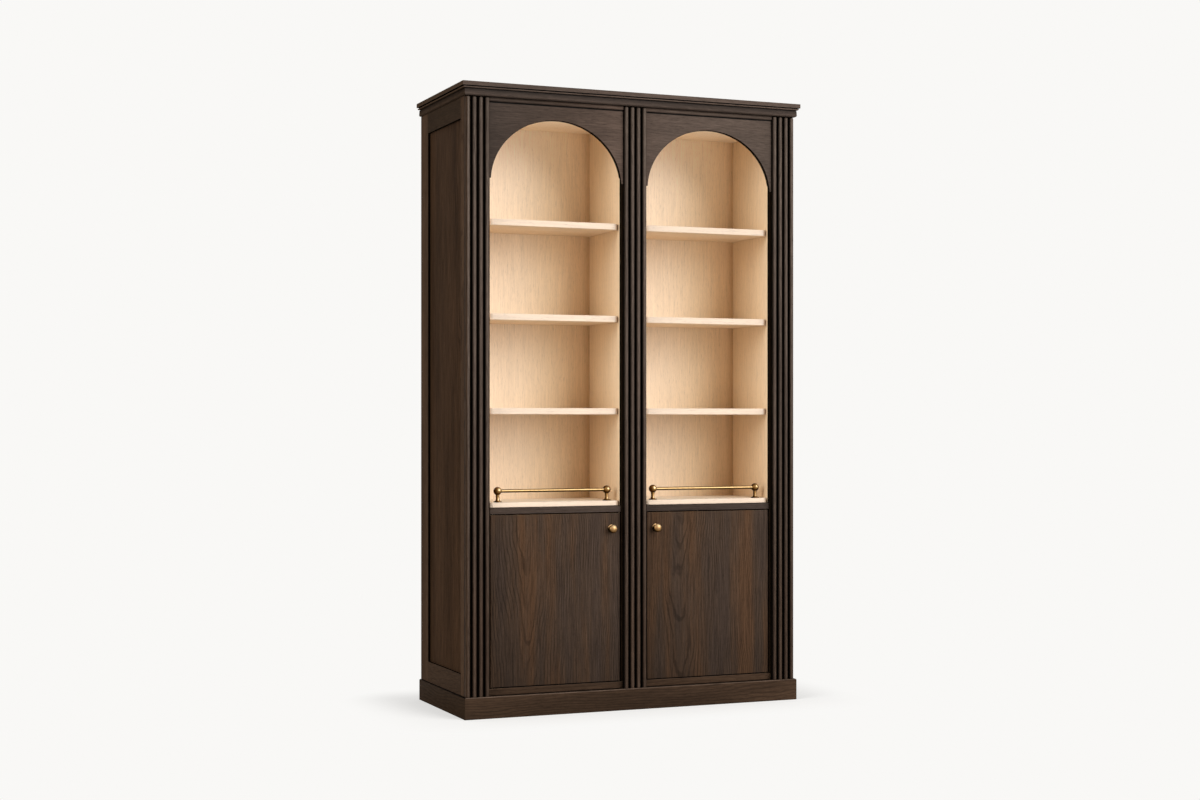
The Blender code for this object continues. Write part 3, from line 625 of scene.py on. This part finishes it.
def door_oak():
    """The doors: painted highlights on their arrises at the top and left, and painted shade on those at the
    bottom and right.
    """
    made = dark_oak("door", "Z", DOOR_BANDS, DOOR_SHEEN, DOOR_FIGURE, DOOR_GRAIN, DOOR_FIBRES)
    painted_by_facing(made, DOOR_WAY, DOOR_ARRIS_HIGHLIGHT)
    return painted_by_facing(made, DOOR_SHADED_WAY, DOOR_SHADED_ARRIS)


def panel_oak():
    bands = shades(PANEL_TONE, PANEL_SPREAD)
    return dark_oak("panel", "Z", bands, SIDE_SHEEN, DOOR_FIGURE, DOOR_GRAIN, PANEL_FIBRES)


def back_oak():
    """The backs: painted shade lower down and towards each bay's right side, darkest in the corner, and
    painted light at the top.
    """
    made = light_oak("back", "Z", LINING_TONE)
    low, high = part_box("inner_back_left")
    tint_along(made, "Z", low.z, high.z, BACK_PAINTED_LIGHT)
    tree = made.node_tree
    across = from_bay_middle(tree, object_place(tree)["X"])
    return tint(made, share_of_way(tree, across, -BAY_CENTRE, BAY_CENTRE), BACK_PAINTED_SHADE)


def wall_oak():
    """The bays' walls: painted shade lower down, and a little at the top."""
    low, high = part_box("inner_back_left")
    return tint_along(light_oak("wall", "Z", WALL_TONE), "Z", low.z, high.z, WALL_PAINTED_SHADE)


def shelf_oak():
    """The shelves: painted light on the tops and the ends that face left, painted shade on the ends that face
    right and on the undersides.
    """
    made = light_oak("shelf", "X", SHELF_TONE)
    for way, stops in ((LEFT, SHELF_LEFT_HIGHLIGHT), (RIGHT, SHELF_RIGHT_SHADE), (UP, SHELF_TOP_HIGHLIGHT), (DOWN, SHELF_UNDERSIDE_SHADE)):
        painted_by_facing(made, way, stops)
    return made


def brass(name, painted_light, way, roughness):
    """Aged brass: warm metal with a painted highlight where it faces the given way and painted shade
    elsewhere, tarnish in patches and fine scratches. The rim's tint darkens its reflections at
    grazing angles, as a painted dark reflection."""
    made, tree, shader = blank(f"aged_brass_{name}", roughness, metallic=1.0)
    shader.inputs["Specular Tint"].default_value = (*BRASS_DARK_REFLECTION, 1)
    place = add(tree, "TexCoord").outputs["Object"]
    patches = ramp(tree, noise(tree, place, TARNISH_STRETCH, detail=4.0), TARNISH)
    lit = ramp(tree, facing(tree, way), painted_light)
    tree.links.new(multiplied(tree, lit, patches), shader.inputs["Base Color"])
    scratches = noise(tree, place, SCRATCH_STRETCH, detail=2.0)
    gloss = between(SCRATCH_SPAN, roughness + SCRATCH_GLOSS, roughness - SCRATCH_GLOSS)
    tree.links.new(ramp(tree, scratches, gloss), shader.inputs["Roughness"])
    bump = {"Height": scratches, **BRASS_RELIEF}
    tree.links.new(add(tree, "Bump", bump).outputs["Normal"], shader.inputs["Normal"])
    return made


def knob_brass():
    """The knobs: painted shade towards the door, on the stem and the back of the ball."""
    low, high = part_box("knob_left")
    made = brass("knob", KNOB_PAINTED_LIGHT, KNOB_WAY, KNOB_ROUGHNESS)
    return tint_along(made, "Y", high.y, low.y, KNOB_SHADE)


def rose_brass():
    """The knobs' roses: a painted highlight at the top, and painted shade below, where the ball's shadow
    falls.
    """
    low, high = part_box("knob_left")
    made = brass("rose", KNOB_PAINTED_LIGHT, KNOB_WAY, KNOB_ROUGHNESS)
    return tint_along(made, "Z", low.z, high.z, ROSE_SHADE)


def post_brass():
    """The gallery posts: painted shade lies in the angle between each flange and its counter."""
    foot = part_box("left_gallery_left_post")[0].z
    made = brass("post", POST_PAINTED_LIGHT, POST_WAY, BRASS_ROUGHNESS)
    return tint_along(made, "Z", foot, foot + FLANGE_REACH, FLANGE_SHADE)


DARK_HEADER = header_oak()
DARK_BEAD = bead_oak()
DARK_CORNICE = moulded_oak("cornice", "X", HEADER_TONE, "cornice_front", CORNICE_PAINTED_LIGHT, FRONT_SHEEN)
DARK_RETURN = moulded_oak("return", "Y", RETURN_TONE, "cornice_left", CORNICE_PAINTED_LIGHT, SIDE_SHEEN)
DARK_MID_RAIL = dark_oak("rail", "X", shades(MID_RAIL_TONE, SPREAD), FRONT_SHEEN, CALM_FIGURE)
DARK_STRIP = dark_oak("strip", "Z", shades(STRIP_TONE, SPREAD), 0.0)
DARK_EDGE = dark_oak("cut_edge", "X", shades(EDGE_TONE, SPREAD), 0.0)
DARK_REED = reeded_oak()
DARK_DOOR = door_oak()
DARK_BASE = base_oak()
DARK_TOP = dark_oak("top", "X", shades(BASE_TONE, BASE_SPREAD), BASE_SHEEN)
DARK_UPRIGHT = dark_oak("upright", "Z", shades(BASE_TONE, BASE_SPREAD), BASE_SHEEN)
DARK_FOOT = foot_oak()
DARK_STILE = dark_oak("stile", "Z", shades(STILE_TONE, SPREAD), SIDE_SHEEN)
DARK_TOP_RAIL = dark_oak("top_rail", "Y", shades(TOP_RAIL_TONE, SPREAD), SIDE_SHEEN, CALM_FIGURE)
DARK_FOOT_RAIL = dark_oak("foot_rail", "Y", shades(FOOT_RAIL_TONE, SPREAD), SIDE_SHEEN, CALM_FIGURE)
DARK_PANEL = panel_oak()
LIGHT_BACK = back_oak()
LIGHT_WALL = wall_oak()
LIGHT_CEILING = light_oak("ceiling", "X", CEILING_TONE)
LIGHT_SHELF = shelf_oak()
KNOB_BRASS = knob_brass()
ROSE_BRASS = rose_brass()
POST_BRASS = post_brass()
ROD_BRASS = brass("rod", ROD_PAINTED_LIGHT, ROD_WAY, BRASS_ROUGHNESS)
HINGE_BRASS = brass("dark", HINGE_PAINTED_SHADE, KNOB_WAY, BRASS_ROUGHNESS)


def finished(name, mesh, finish, nodes, body="carcass"):
    """Adds a piece that stands for CAD nodes, on the body that carries them."""
    piece = bpy.data.objects.new(name, mesh)
    bpy.context.scene.collection.objects.link(piece)
    mesh.materials.append(finish)
    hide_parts(*nodes)
    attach(piece, body)
    return piece


def ease_edges(piece, width):
    """Rounds a piece's sharp edges and shades the rest flat."""
    piece.data.shade_smooth()
    bevel = piece.modifiers.new("eased_edges", "BEVEL")
    bevel.width = width
    bevel.segments = EASE_STEPS
    bevel.limit_method = "ANGLE"
    bevel.angle_limit = CREASE_ANGLE
    bevel.harden_normals = True


def smooth_over(mesh, crease):
    """Shades a mesh smooth, except where its faces meet at more than the crease."""
    mesh.shade_smooth()
    mesh.set_sharp_from_angle(angle=crease)


def looks(*ways):
    """Picks the faces that look one of the ways."""
    return lambda normal: any(normal.dot(way) > SQUARE_ON for way in ways)


def on_the_rim(normal):
    """Picks the faces round the edge of an upright board."""
    return abs(normal.y) < SQUARE_ON


def shade_edges(piece, picks, arrises=True):
    """Painted shade: the picked faces of a piece, and its arrises, are nearly black, as the shade
    in gaps, in recesses and under edges. It comes after ease_edges."""
    piece.data.materials.append(DARK_EDGE)
    if arrises:
        piece.modifiers["eased_edges"].material = 1
    for face in piece.data.polygons:
        if picks(face.normal):
            face.material_index = 1


def mesh_from(shape, name):
    bmesh.ops.recalc_face_normals(shape, faces=shape.faces)
    mesh = bpy.data.meshes.new(name)
    shape.to_mesh(mesh)
    shape.free()
    return mesh


def eased_node(node, finish, width=EASE, body="carcass"):
    """A board as the CAD has it, with its edges rounded over."""
    shape = bmesh.new()
    shape.from_mesh(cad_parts[node].data)
    bmesh.ops.remove_doubles(shape, verts=shape.verts, dist=WELD_DISTANCE)
    bmesh.ops.dissolve_limit(shape, angle_limit=FLAT_ANGLE, verts=shape.verts, edges=shape.edges)
    piece = finished(f"{node}_eased", mesh_from(shape, node), finish, [node], body)
    ease_edges(piece, width)
    return piece


def arc(centre, radii, start, end, steps):
    turns = [radians(start + (end - start) * i / steps) for i in range(steps + 1)]
    return [(centre[0] + radii[0] * cos(t), centre[1] + radii[1] * sin(t)) for t in turns]


def skin(name, outlines):
    """A closed solid over a row of outlines, each with the same number of points."""
    shape = bmesh.new()
    rings = [[shape.verts.new(point) for point in outline] for outline in outlines]
    for first, second in zip(rings, rings[1:]):
        for number in range(len(first)):
            following = (number + 1) % len(first)
            shape.faces.new((first[number], first[following], second[following], second[number]))
    shape.faces.new(rings[0])
    shape.faces.new(rings[-1])
    return mesh_from(shape, name)


def sweep(name, corners, step):
    """A closed solid: a flat outline swept by a step."""
    return skin(name, [corners, [Vector(corner) + Vector(step) for corner in corners]])


def moulding(name, profile, start, end, mitres=(0, 0)):
    """A straight moulding whose face looks to the right of its way from start to end. The profile
    is (distance out, height), and a mitred end runs on by the distance out."""
    along = (Vector(end) - Vector(start)).normalized()
    out = Vector((along.y, -along.x))
    outlines = []
    for place, mitre in ((Vector(start), -mitres[0]), (Vector(end), mitres[1])):
        spots = [(place + out * reach + along * reach * mitre, height) for reach, height in profile]
        outlines.append([(*spot, height) for spot, height in spots])
    return skin(name, outlines)


def lathe(name, profile, centre, axis):
    """A closed turned solid from (radius, distance along the axis) points."""
    shape = bmesh.new()
    turn = UP.rotation_difference(Vector(axis))
    rings = []
    for radius, height in profile:
        steps = TURNING_STEPS if radius else 1
        ring = []
        for number in range(steps):
            angle = 2 * pi * number / steps
            point = Vector((radius * cos(angle), radius * sin(angle), height))
            ring.append(shape.verts.new(Vector(centre) + turn @ point))
        rings.append(ring)
    for first, second in zip(rings, rings[1:]):
        for number in range(TURNING_STEPS):
            following = (number + 1) % TURNING_STEPS
            if len(first) == 1:
                shape.faces.new((first[0], second[number], second[following]))
            elif len(second) == 1:
                shape.faces.new((first[number], second[0], first[following]))
            else:
                shape.faces.new((first[number], second[number], second[following], first[following]))
    return mesh_from(shape, name)


def turned_piece(name, profile, centre, axis, finish, node, body="carcass"):
    mesh = lathe(name, profile, centre, axis)
    smooth_over(mesh, TURNING_CREASE)
    finished(name, mesh, finish, [node], body)


def make_boards():
    """Boards that keep their CAD shape."""
    # Each row: the nodes, their finish, and which faces are painted nearly black as shade
    groups = (
        (["plinth_front", "cabinet_floor_left", "cabinet_floor_right"], DARK_BASE, None),
        (["top_board"], DARK_TOP, None),
        (["plinth_left", "plinth_right"], DARK_FOOT, None),
        (["stile_left", "stile_centre", "stile_right"], DARK_STRIP, looks(LEFT, RIGHT)),
        (["rear_panel"], DARK_UPRIGHT, None),
        (["mid_rail_left", "mid_rail_right"], DARK_MID_RAIL, looks(DOWN)),
        (["left_bay_inner_wall", "left_bay_outer_wall"], LIGHT_WALL, None),
        (["right_bay_inner_wall", "right_bay_outer_wall"], LIGHT_WALL, None),
        (["inner_back_left", "inner_back_right"], LIGHT_BACK, None),
        (["ceiling_left", "ceiling_right"], LIGHT_CEILING, None),
    )
    for nodes, finish, shaded_faces in groups:
        for node in nodes:
            piece = eased_node(node, finish)
            if shaded_faces:
                shade_edges(piece, shaded_faces)


def make_cornice():
    """The cornice with a fascia, a bead between two quirks, and a fillet on top."""
    low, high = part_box("cornice_front")
    half = high.x - CORNICE_OVERHANG
    front = low.y + CORNICE_OVERHANG
    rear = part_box("cornice_left")[1].y
    fillet = high.z - CORNICE_FILLET
    bead_top = fillet - CORNICE_QUIRK
    bead_bottom = bead_top - CORNICE_BEAD
    fascia_top = bead_bottom - CORNICE_QUIRK
    bead_centre = (CORNICE_BEAD_SEAT, (bead_top + bead_bottom) / 2)
    bead_radii = (CORNICE_BEAD_REACH - CORNICE_BEAD_SEAT, CORNICE_BEAD / 2)
    profile = [
        (0, low.z),
        (CORNICE_FASCIA - CORNICE_FOOT, low.z),
        (CORNICE_FASCIA, low.z + CORNICE_FOOT),
        (CORNICE_FASCIA - CORNICE_LEAN, fascia_top),
        (CORNICE_LOWER_SEAT, fascia_top),
        (CORNICE_LOWER_SEAT, bead_bottom),
        *arc(bead_centre, bead_radii, -90, 90, MOULDING_STEPS),
        (CORNICE_UPPER_SEAT, bead_top),
        (CORNICE_UPPER_SEAT, fillet),
        (CORNICE_OVERHANG, fillet),
        (CORNICE_OVERHANG, high.z),
        (0, high.z),
    ]
    runs = (
        ("cornice_front", (-half, front), (half, front), (1, 1), DARK_CORNICE),
        ("cornice_left", (-half, rear), (-half, front), (0, 1), DARK_RETURN),
        ("cornice_right", (half, front), (half, rear), (1, 0), DARK_RETURN),
    )
    for node, start, end, mitres, finish in runs:
        mesh = moulding(f"{node}_moulded", profile, start, end, mitres)
        ease_edges(finished(f"{node}_moulded", mesh, finish, [node]), MOULDING_EASE)
    section = ((front, low.z), (high.y, low.z), (high.y, high.z), (front, high.z))
    backing = sweep("cornice_front_backing", [(-half, y, z) for y, z in section], (2 * half, 0, 0))
    finished("cornice_front_backing", backing, DARK_CORNICE, ["cornice_front"])


def make_header_beads():
    """A half-round bead over each arched panel, with a quirk under it."""
    for side in SIDES:
        node = f"header_bead_{side}"
        low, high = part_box(node)
        bottom = low.z + BEAD_QUIRK
        centre = (high.y - low.y - BEAD_PROUD, (bottom + high.z) / 2)
        crest = arc(centre, (BEAD_PROUD, (high.z - bottom) / 2), -90, 90, MOULDING_STEPS)
        profile = [(0, low.z), (BEAD_QUIRK_SEAT, low.z), (BEAD_QUIRK_SEAT, bottom), *crest, (0, high.z)]
        mesh = moulding(f"{node}_moulded", profile, (low.x, high.y), (high.x, high.y))
        ease_edges(finished(f"{node}_moulded", mesh, DARK_BEAD, [node]), MOULDING_EASE)


def rebated(outer, rebate, inner, edge, window, way):
    """A frame board's section, as (across, depth or height): from its outer edge to the window,
    and behind the panel's face to the end of the panel's tongue."""
    back = window + way * SIDE_PANEL_TONGUE
    return [(outer, edge), (outer, window), (rebate, window), (rebate, back), (inner, back), (inner, edge)]


def make_sides():
    """Each side frame's two stiles and two rails, round its panel."""
    for side in SIDES:
        node = f"side_frame_{side}"
        panel = f"side_panel_{side}"
        low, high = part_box(node)
        panel_low, panel_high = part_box(panel)
        outer, inner, inwards = (low.x, high.x, 1) if side == "left" else (high.x, low.x, -1)
        faces = (outer, outer + inwards * SIDE_RECESS, inner)
        front, rear = panel_low.y + SIDE_PANEL_TONGUE, panel_high.y - SIDE_PANEL_TONGUE
        bottom, top = panel_low.z + SIDE_PANEL_TONGUE, panel_high.z - SIDE_PANEL_TONGUE
        for place, edge, window, way in (("front", low.y, front, -1), ("rear", high.y, rear, 1)):
            corners = [(x, y, low.z) for x, y in rebated(*faces, edge, window, way)]
            mesh = sweep(f"{node}_{place}_stile", corners, (0, 0, high.z - low.z))
            stile = finished(f"{node}_{place}_stile", mesh, DARK_STILE, [node])
            ease_edges(stile, EASE)
            # The stile's faces towards the panel are painted nearly black as shade
            shade_edges(stile, looks(Vector((0, -way, 0))))
        rails = (("bottom", low.z, bottom, -1, DARK_FOOT_RAIL), ("top", high.z, top, 1, DARK_TOP_RAIL))
        for place, edge, window, way, finish in rails:
            corners = [(x, front, z) for x, z in rebated(*faces, edge, window, way)]
            mesh = sweep(f"{node}_{place}_rail", corners, (0, rear - front, 0))
            rail = finished(f"{node}_{place}_rail", mesh, finish, [node])
            ease_edges(rail, RAIL_EASE)
            # The rail's faces towards the panel are painted nearly black as shade
            shade_edges(rail, looks(Vector((0, 0, -way))))
        eased_node(panel, DARK_PANEL)


def reed(name, middle, face, bottom, top):
    """One reed: straight flanks, a half-round crest and a domed top."""
    crest_centre = (0, REED_DEPTH - REED_RADIUS)
    crest = arc(crest_centre, (REED_RADIUS, REED_RADIUS), 180, 0, REED_STEPS)
    section = [(-REED_RADIUS, 0), *crest, (REED_RADIUS, 0)]
    levels = [(bottom, 1.0)]
    for number in range(REED_CAP_STEPS + 1):
        turn = radians(REED_CAP_TURN) * number / REED_CAP_STEPS
        levels.append((top - REED_RADIUS + REED_RADIUS * sin(turn), cos(turn)))
    outlines = []
    for height, share in levels:
        outlines.append([(middle + x * share, face - y * share, height) for x, y in section])
    mesh = skin(name, outlines)
    smooth_over(mesh, REED_CREASE)
    return mesh


def make_pilasters():
    """Each pilaster's board and its reeds. The board's front and its sides towards a bay are
    painted nearly black as shade, and the outermost flanks of the front are finished like the board."""
    pilasters = (("left", [RIGHT], {0: -1}), ("centre", [LEFT, RIGHT], {}), ("right", [LEFT], {REEDS - 1: 1}))
    for place, bay_sides, outermost in pilasters:
        node = f"pilaster_{place}"
        low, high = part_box(node)
        centre = (low.x + high.x) / 2
        face = low.y + REED_DEPTH
        plan = ((low.x, face), (high.x, face), (high.x, high.y), (low.x, high.y))
        mesh = sweep(f"{node}_board", [(x, y, low.z) for x, y in plan], (0, 0, high.z - low.z))
        board = finished(f"{node}_board", mesh, DARK_UPRIGHT, [node])
        ease_edges(board, EASE)
        shade_edges(board, looks(FRONT, *bay_sides), arrises=False)
        for number in range(REEDS):
            middle = centre + (number - (REEDS - 1) / 2) * REED_PITCH
            mesh = reed(f"{node}_reed_{number + 1}", middle, face, low.z, high.z)
            finished(mesh.name, mesh, DARK_REED, [node])
            mesh.materials.append(DARK_UPRIGHT)
            for flank in mesh.polygons:
                if flank.normal.x * outermost.get(number, 0) > REED_FLANK:
                    flank.material_index = 1


def make_arches():
    """The arched header panels, each with a finer arch and the tongue behind it. The curve comes
    from the CAD panel's own corners: it is an ellipse whose centre lies a little below the foot."""
    for side in SIDES:
        node = f"arch_panel_{side}"
        low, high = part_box(node)
        middle = (low.x + high.x) / 2
        corners = [vertex.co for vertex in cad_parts[node].data.vertices]
        foot_half = min(abs(co.x - middle) for co in corners if abs(co.z - low.z) < EASE)
        under_top = [co for co in corners if co.z < high.z - EASE]
        crown = max(co.z for co in under_top if abs(co.x - middle) < ARCH_CROWN_SEARCH)
        rise = (crown - low.z) / (1 - ARCH_FOOT_SHARE)
        half = foot_half / sqrt(1 - ARCH_FOOT_SHARE ** 2)
        centre = crown - rise
        frame_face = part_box(f"stile_{side}")[0].y
        edge_low, edge_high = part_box(f"mid_rail_{side}")
        cut = (low.x, high.x, low.z, ARCH_FOOT_SHARE, frame_face - SEAM, low.y)
        tongue_start = centre + ARCH_TONGUE_START
        tongue_share = ARCH_TONGUE_START / rise
        tongue = (edge_low.x, edge_high.x, tongue_start, tongue_share, high.y, frame_face - SEAM)
        for part, (first, last, bottom, share, rear, front) in (("cut", cut), ("tongue", tongue)):
            turn = degrees(asin(share))
            outline = [(first, high.z), (first, bottom)]
            outline += arc((middle, centre), (half, rise), 180 - turn, turn, ARCH_STEPS)
            outline += [(last, bottom), (last, high.z)]
            mesh = sweep(f"{node}_{part}", [(x, rear, z) for x, z in outline], (0, front - rear, 0))
            panel = finished(f"{node}_{part}", mesh, DARK_HEADER, [node])
            if part == "cut":
                ease_edges(panel, ARCH_EASE)
            # The rim is painted nearly black as shade, and so are the cut's arrises
            shade_edges(panel, on_the_rim, arrises=part == "cut")


def make_shelves():
    """Shelves and counters with rounded corners and softened edges."""
    for side in SIDES:
        for level in LEVELS:
            node = f"{side}_{level}"
            low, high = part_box(node)
            half = (high.x - low.x) / 2
            middle = (low.x + high.x) / 2
            centre = (half - DADO_DEPTH - SHELF_CORNER_RADIUS, low.y + SHELF_CORNER_RADIUS)
            corner = arc(centre, (SHELF_CORNER_RADIUS, SHELF_CORNER_RADIUS), -90, 0, SHELF_CORNER_STEPS)
            right = [*corner, (half, centre[1]), (half, high.y)]
            outline = right + [(-x, y) for x, y in reversed(right)]
            corners = [(middle + x, y, low.z) for x, y in outline]
            mesh = sweep(f"{node}_shaped", corners, (0, 0, high.z - low.z))
            ease_edges(finished(f"{node}_shaped", mesh, LIGHT_SHELF, [node]), SHELF_EASE)


def make_doors():
    """The doors, and their knobs: a round rose, and a stem with a flattened ball."""
    for side in SIDES:
        body = f"{side}_door"
        door = eased_node(f"door_{side}", DARK_DOOR, DOOR_EASE, body)
        # The door's rim is painted nearly black as the shade in its gap
        shade_edges(door, on_the_rim, arrises=False)
        node = f"knob_{side}"
        low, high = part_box(node)
        centre = ((low.x + high.x) / 2, high.y, (low.z + high.z) / 2)
        reach = high.y - low.y
        rim_centre = (ROSE_RADIUS - ROSE_EASE, ROSE_THICKNESS - ROSE_EASE)
        rim = arc(rim_centre, (ROSE_EASE, ROSE_EASE), 0, 90, EASE_STEPS)
        rose = [(0, 0), (ROSE_RADIUS, 0), *rim, (0, ROSE_THICKNESS)]
        ball = arc((0, reach - KNOB_HALF_DEPTH), (KNOB_RADIUS, KNOB_HALF_DEPTH), *KNOB_ARC, KNOB_STEPS)
        head = [(0, ROSE_THICKNESS), (KNOB_STEM_RADIUS, ROSE_THICKNESS), *ball, (0, reach)]
        turned_piece(f"{node}_rose", rose, centre, FRONT, ROSE_BRASS, node, body)
        turned_piece(f"{node}_head", head, centre, FRONT, KNOB_BRASS, node, body)


def make_galleries():
    """Turned posts with balls, and the rod between them."""
    for side in SIDES:
        for end in SIDES:
            node = f"{side}_gallery_{end}_post"
            low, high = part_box(node)
            centre = ((low.x + high.x) / 2, (low.y + high.y) / 2, low.z)
            height = high.z - low.z
            flange = (high.x - low.x) / 2
            edge = FLANGE_THICKNESS / 2
            rim = arc((flange - FLANGE_EASE, edge), (FLANGE_EASE, edge), *FLANGE_ARC, FLANGE_STEPS)
            ball = arc((0, height - BALL_RADIUS), (BALL_RADIUS, BALL_RADIUS), *BALL_ARC, BALL_STEPS)
            profile = [(0, 0), (flange, 0), (flange, edge), *rim, *POST_FLARE, *ball, (0, height)]
            turned_piece(f"{node}_turned", profile, centre, UP, POST_BRASS, node)
        node = f"{side}_gallery_rod"
        low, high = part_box(node)
        radius = (high.z - low.z) / 2
        neck = radius - ROD_EASE
        length = high.x - low.x
        start = (low.x, (low.y + high.y) / 2, (low.z + high.z) / 2)
        profile = [(0, 0), (neck, 0), (radius, ROD_EASE)]
        profile += [(radius, length - ROD_EASE), (neck, length), (0, length)]
        turned_piece(f"{node}_drawn", profile, start, RIGHT, ROD_BRASS, node)


def dress_hinges():
    """The hinge leaves keep their CAD shape, painted nearly black as the shade in the door gaps."""
    for name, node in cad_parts.items():
        if "hinge" in name:
            node.data.materials.clear()
            node.data.materials.append(HINGE_BRASS)


def seen_by_eye(tree):
    """1 where the camera looks, also in a reflection or through glass, and 0 for other light."""
    path = add(tree, "LightPath").outputs
    shown = maths(tree, "MAXIMUM", path["Is Camera Ray"], path["Is Glossy Ray"])
    return maths(tree, "MAXIMUM", shown, path["Is Transmission Ray"])


def shade_reach(tree):
    """1 beside the plinth, falling to 0 at the end of the visible shadow."""
    parts = object_place(tree)
    beyond = {}
    for axis, reach in (("X", CAD_BOX[1][0]), ("Y", CAD_BOX[1][1])):
        past = maths(tree, "SUBTRACT", maths(tree, "ABSOLUTE", parts[axis]), reach)
        beyond[axis] = maths(tree, "MAXIMUM", past, 0.0)
    away = {0: add(tree, "CombineXYZ", beyond).outputs["Vector"]}
    distance = add(tree, "VectorMath", away, operation="LENGTH").outputs["Value"]
    limits = {"Value": distance, "From Max": FLOOR_SHADE_REACH, "To Min": 1.0, "To Max": 0.0}
    return add(tree, "MapRange", limits, interpolation_type="SMOOTHSTEP").outputs["Result"]


def make_floor():
    """A pale floor that shows the backdrop's colour, less a share of the shadow near the case."""
    made, tree, shader = blank("pale_floor", FLOOR_ROUGHNESS, specular=0.0)
    tree.nodes.remove(shader)
    lamps = KEY_STRENGTH * sin(radians(KEY_ELEVATION)) + FILL_STRENGTH * sin(radians(FILL_ELEVATION))
    sunlit = FLOOR_ALBEDO * (lamps / pi + SKY_STRENGTH)
    seen_albedo = FLOOR_ALBEDO * FLOOR_SHADE_SHARE / sunlit
    glow = [channel * (1 - FLOOR_SHADE_SHARE) for channel in BACKDROP]
    seen = [channel * seen_albedo for channel in BACKDROP]
    plain = add(tree, "BsdfDiffuse", {"Color": (FLOOR_ALBEDO,) * 3 + (1,)})
    shaded = add(tree, "BsdfDiffuse", {"Color": (*seen, 1)})
    emission = add(tree, "Emission", {"Color": (*glow, 1), "Strength": 1.0})
    both = add(tree, "AddShader", {0: shaded.outputs[0], 1: emission.outputs[0]})
    bare = add(tree, "Emission", {"Color": (*BACKDROP, 1), "Strength": 1.0})
    near = add(tree, "MixShader", {0: shade_reach(tree), 1: bare.outputs[0], 2: both.outputs[0]})
    final = add(tree, "MixShader", {0: seen_by_eye(tree), 1: plain.outputs[0], 2: near.outputs[0]})
    tree.links.new(final.outputs[0], tree.nodes["Material Output"].inputs["Surface"])
    half = FLOOR_HALF_SIZE
    mesh = bpy.data.meshes.new("floor")
    corners = [(-half, -half, 0), (half, -half, 0), (half, half, 0), (-half, half, 0)]
    mesh.from_pydata(corners, [], [(0, 1, 2, 3)])
    mesh.materials.append(made)
    floor = bpy.data.objects.new("floor", mesh)
    bpy.context.scene.collection.objects.link(floor)


def make_lamp(name, strength, softness, azimuth, elevation):
    """A soft sun."""
    lamp = bpy.data.lights.new(name, "SUN")
    lamp.energy = strength
    lamp.angle = radians(softness)
    made = bpy.data.objects.new(name, lamp)
    made.rotation_euler = (radians(90 - elevation), 0, radians(azimuth))
    bpy.context.scene.collection.objects.link(made)


def make_light():
    """A plain sky that shows as the backdrop, and two soft suns."""
    world = bpy.data.worlds.new("studio")
    bpy.context.scene.world = world
    world.use_nodes = True
    tree = world.node_tree
    sky = (SKY_STRENGTH,) * 3 + (1,)
    colour = blend(tree, "MIX", seen_by_eye(tree), sky, (*BACKDROP, 1))
    tree.links.new(colour, tree.nodes["Background"].inputs["Color"])
    make_lamp("key", KEY_STRENGTH, KEY_SOFTNESS, KEY_AZIMUTH, KEY_ELEVATION)
    make_lamp("fill", FILL_STRENGTH, FILL_SOFTNESS, FILL_AZIMUTH, FILL_ELEVATION)


def make_camera():
    data = bpy.data.cameras.new("camera")
    data.sensor_width = CAMERA_SENSOR
    data.lens = CAMERA_LENS
    data.shift_y = CAMERA_SHIFT
    data.clip_end = CAMERA_REACH
    camera = bpy.data.objects.new("camera", data)
    camera.location = CAMERA_PLACE
    camera.rotation_euler = (pi / 2, 0, -radians(CAMERA_YAW))
    bpy.context.scene.collection.objects.link(camera)
    bpy.context.scene.camera = camera


bpy.context.scene.view_settings.view_transform = "Standard"
make_camera()
make_light()
make_floor()
make_boards()
make_cornice()
make_header_beads()
make_sides()
make_pilasters()
make_arches()
make_shelves()
make_doors()
make_galleries()
dress_hinges()
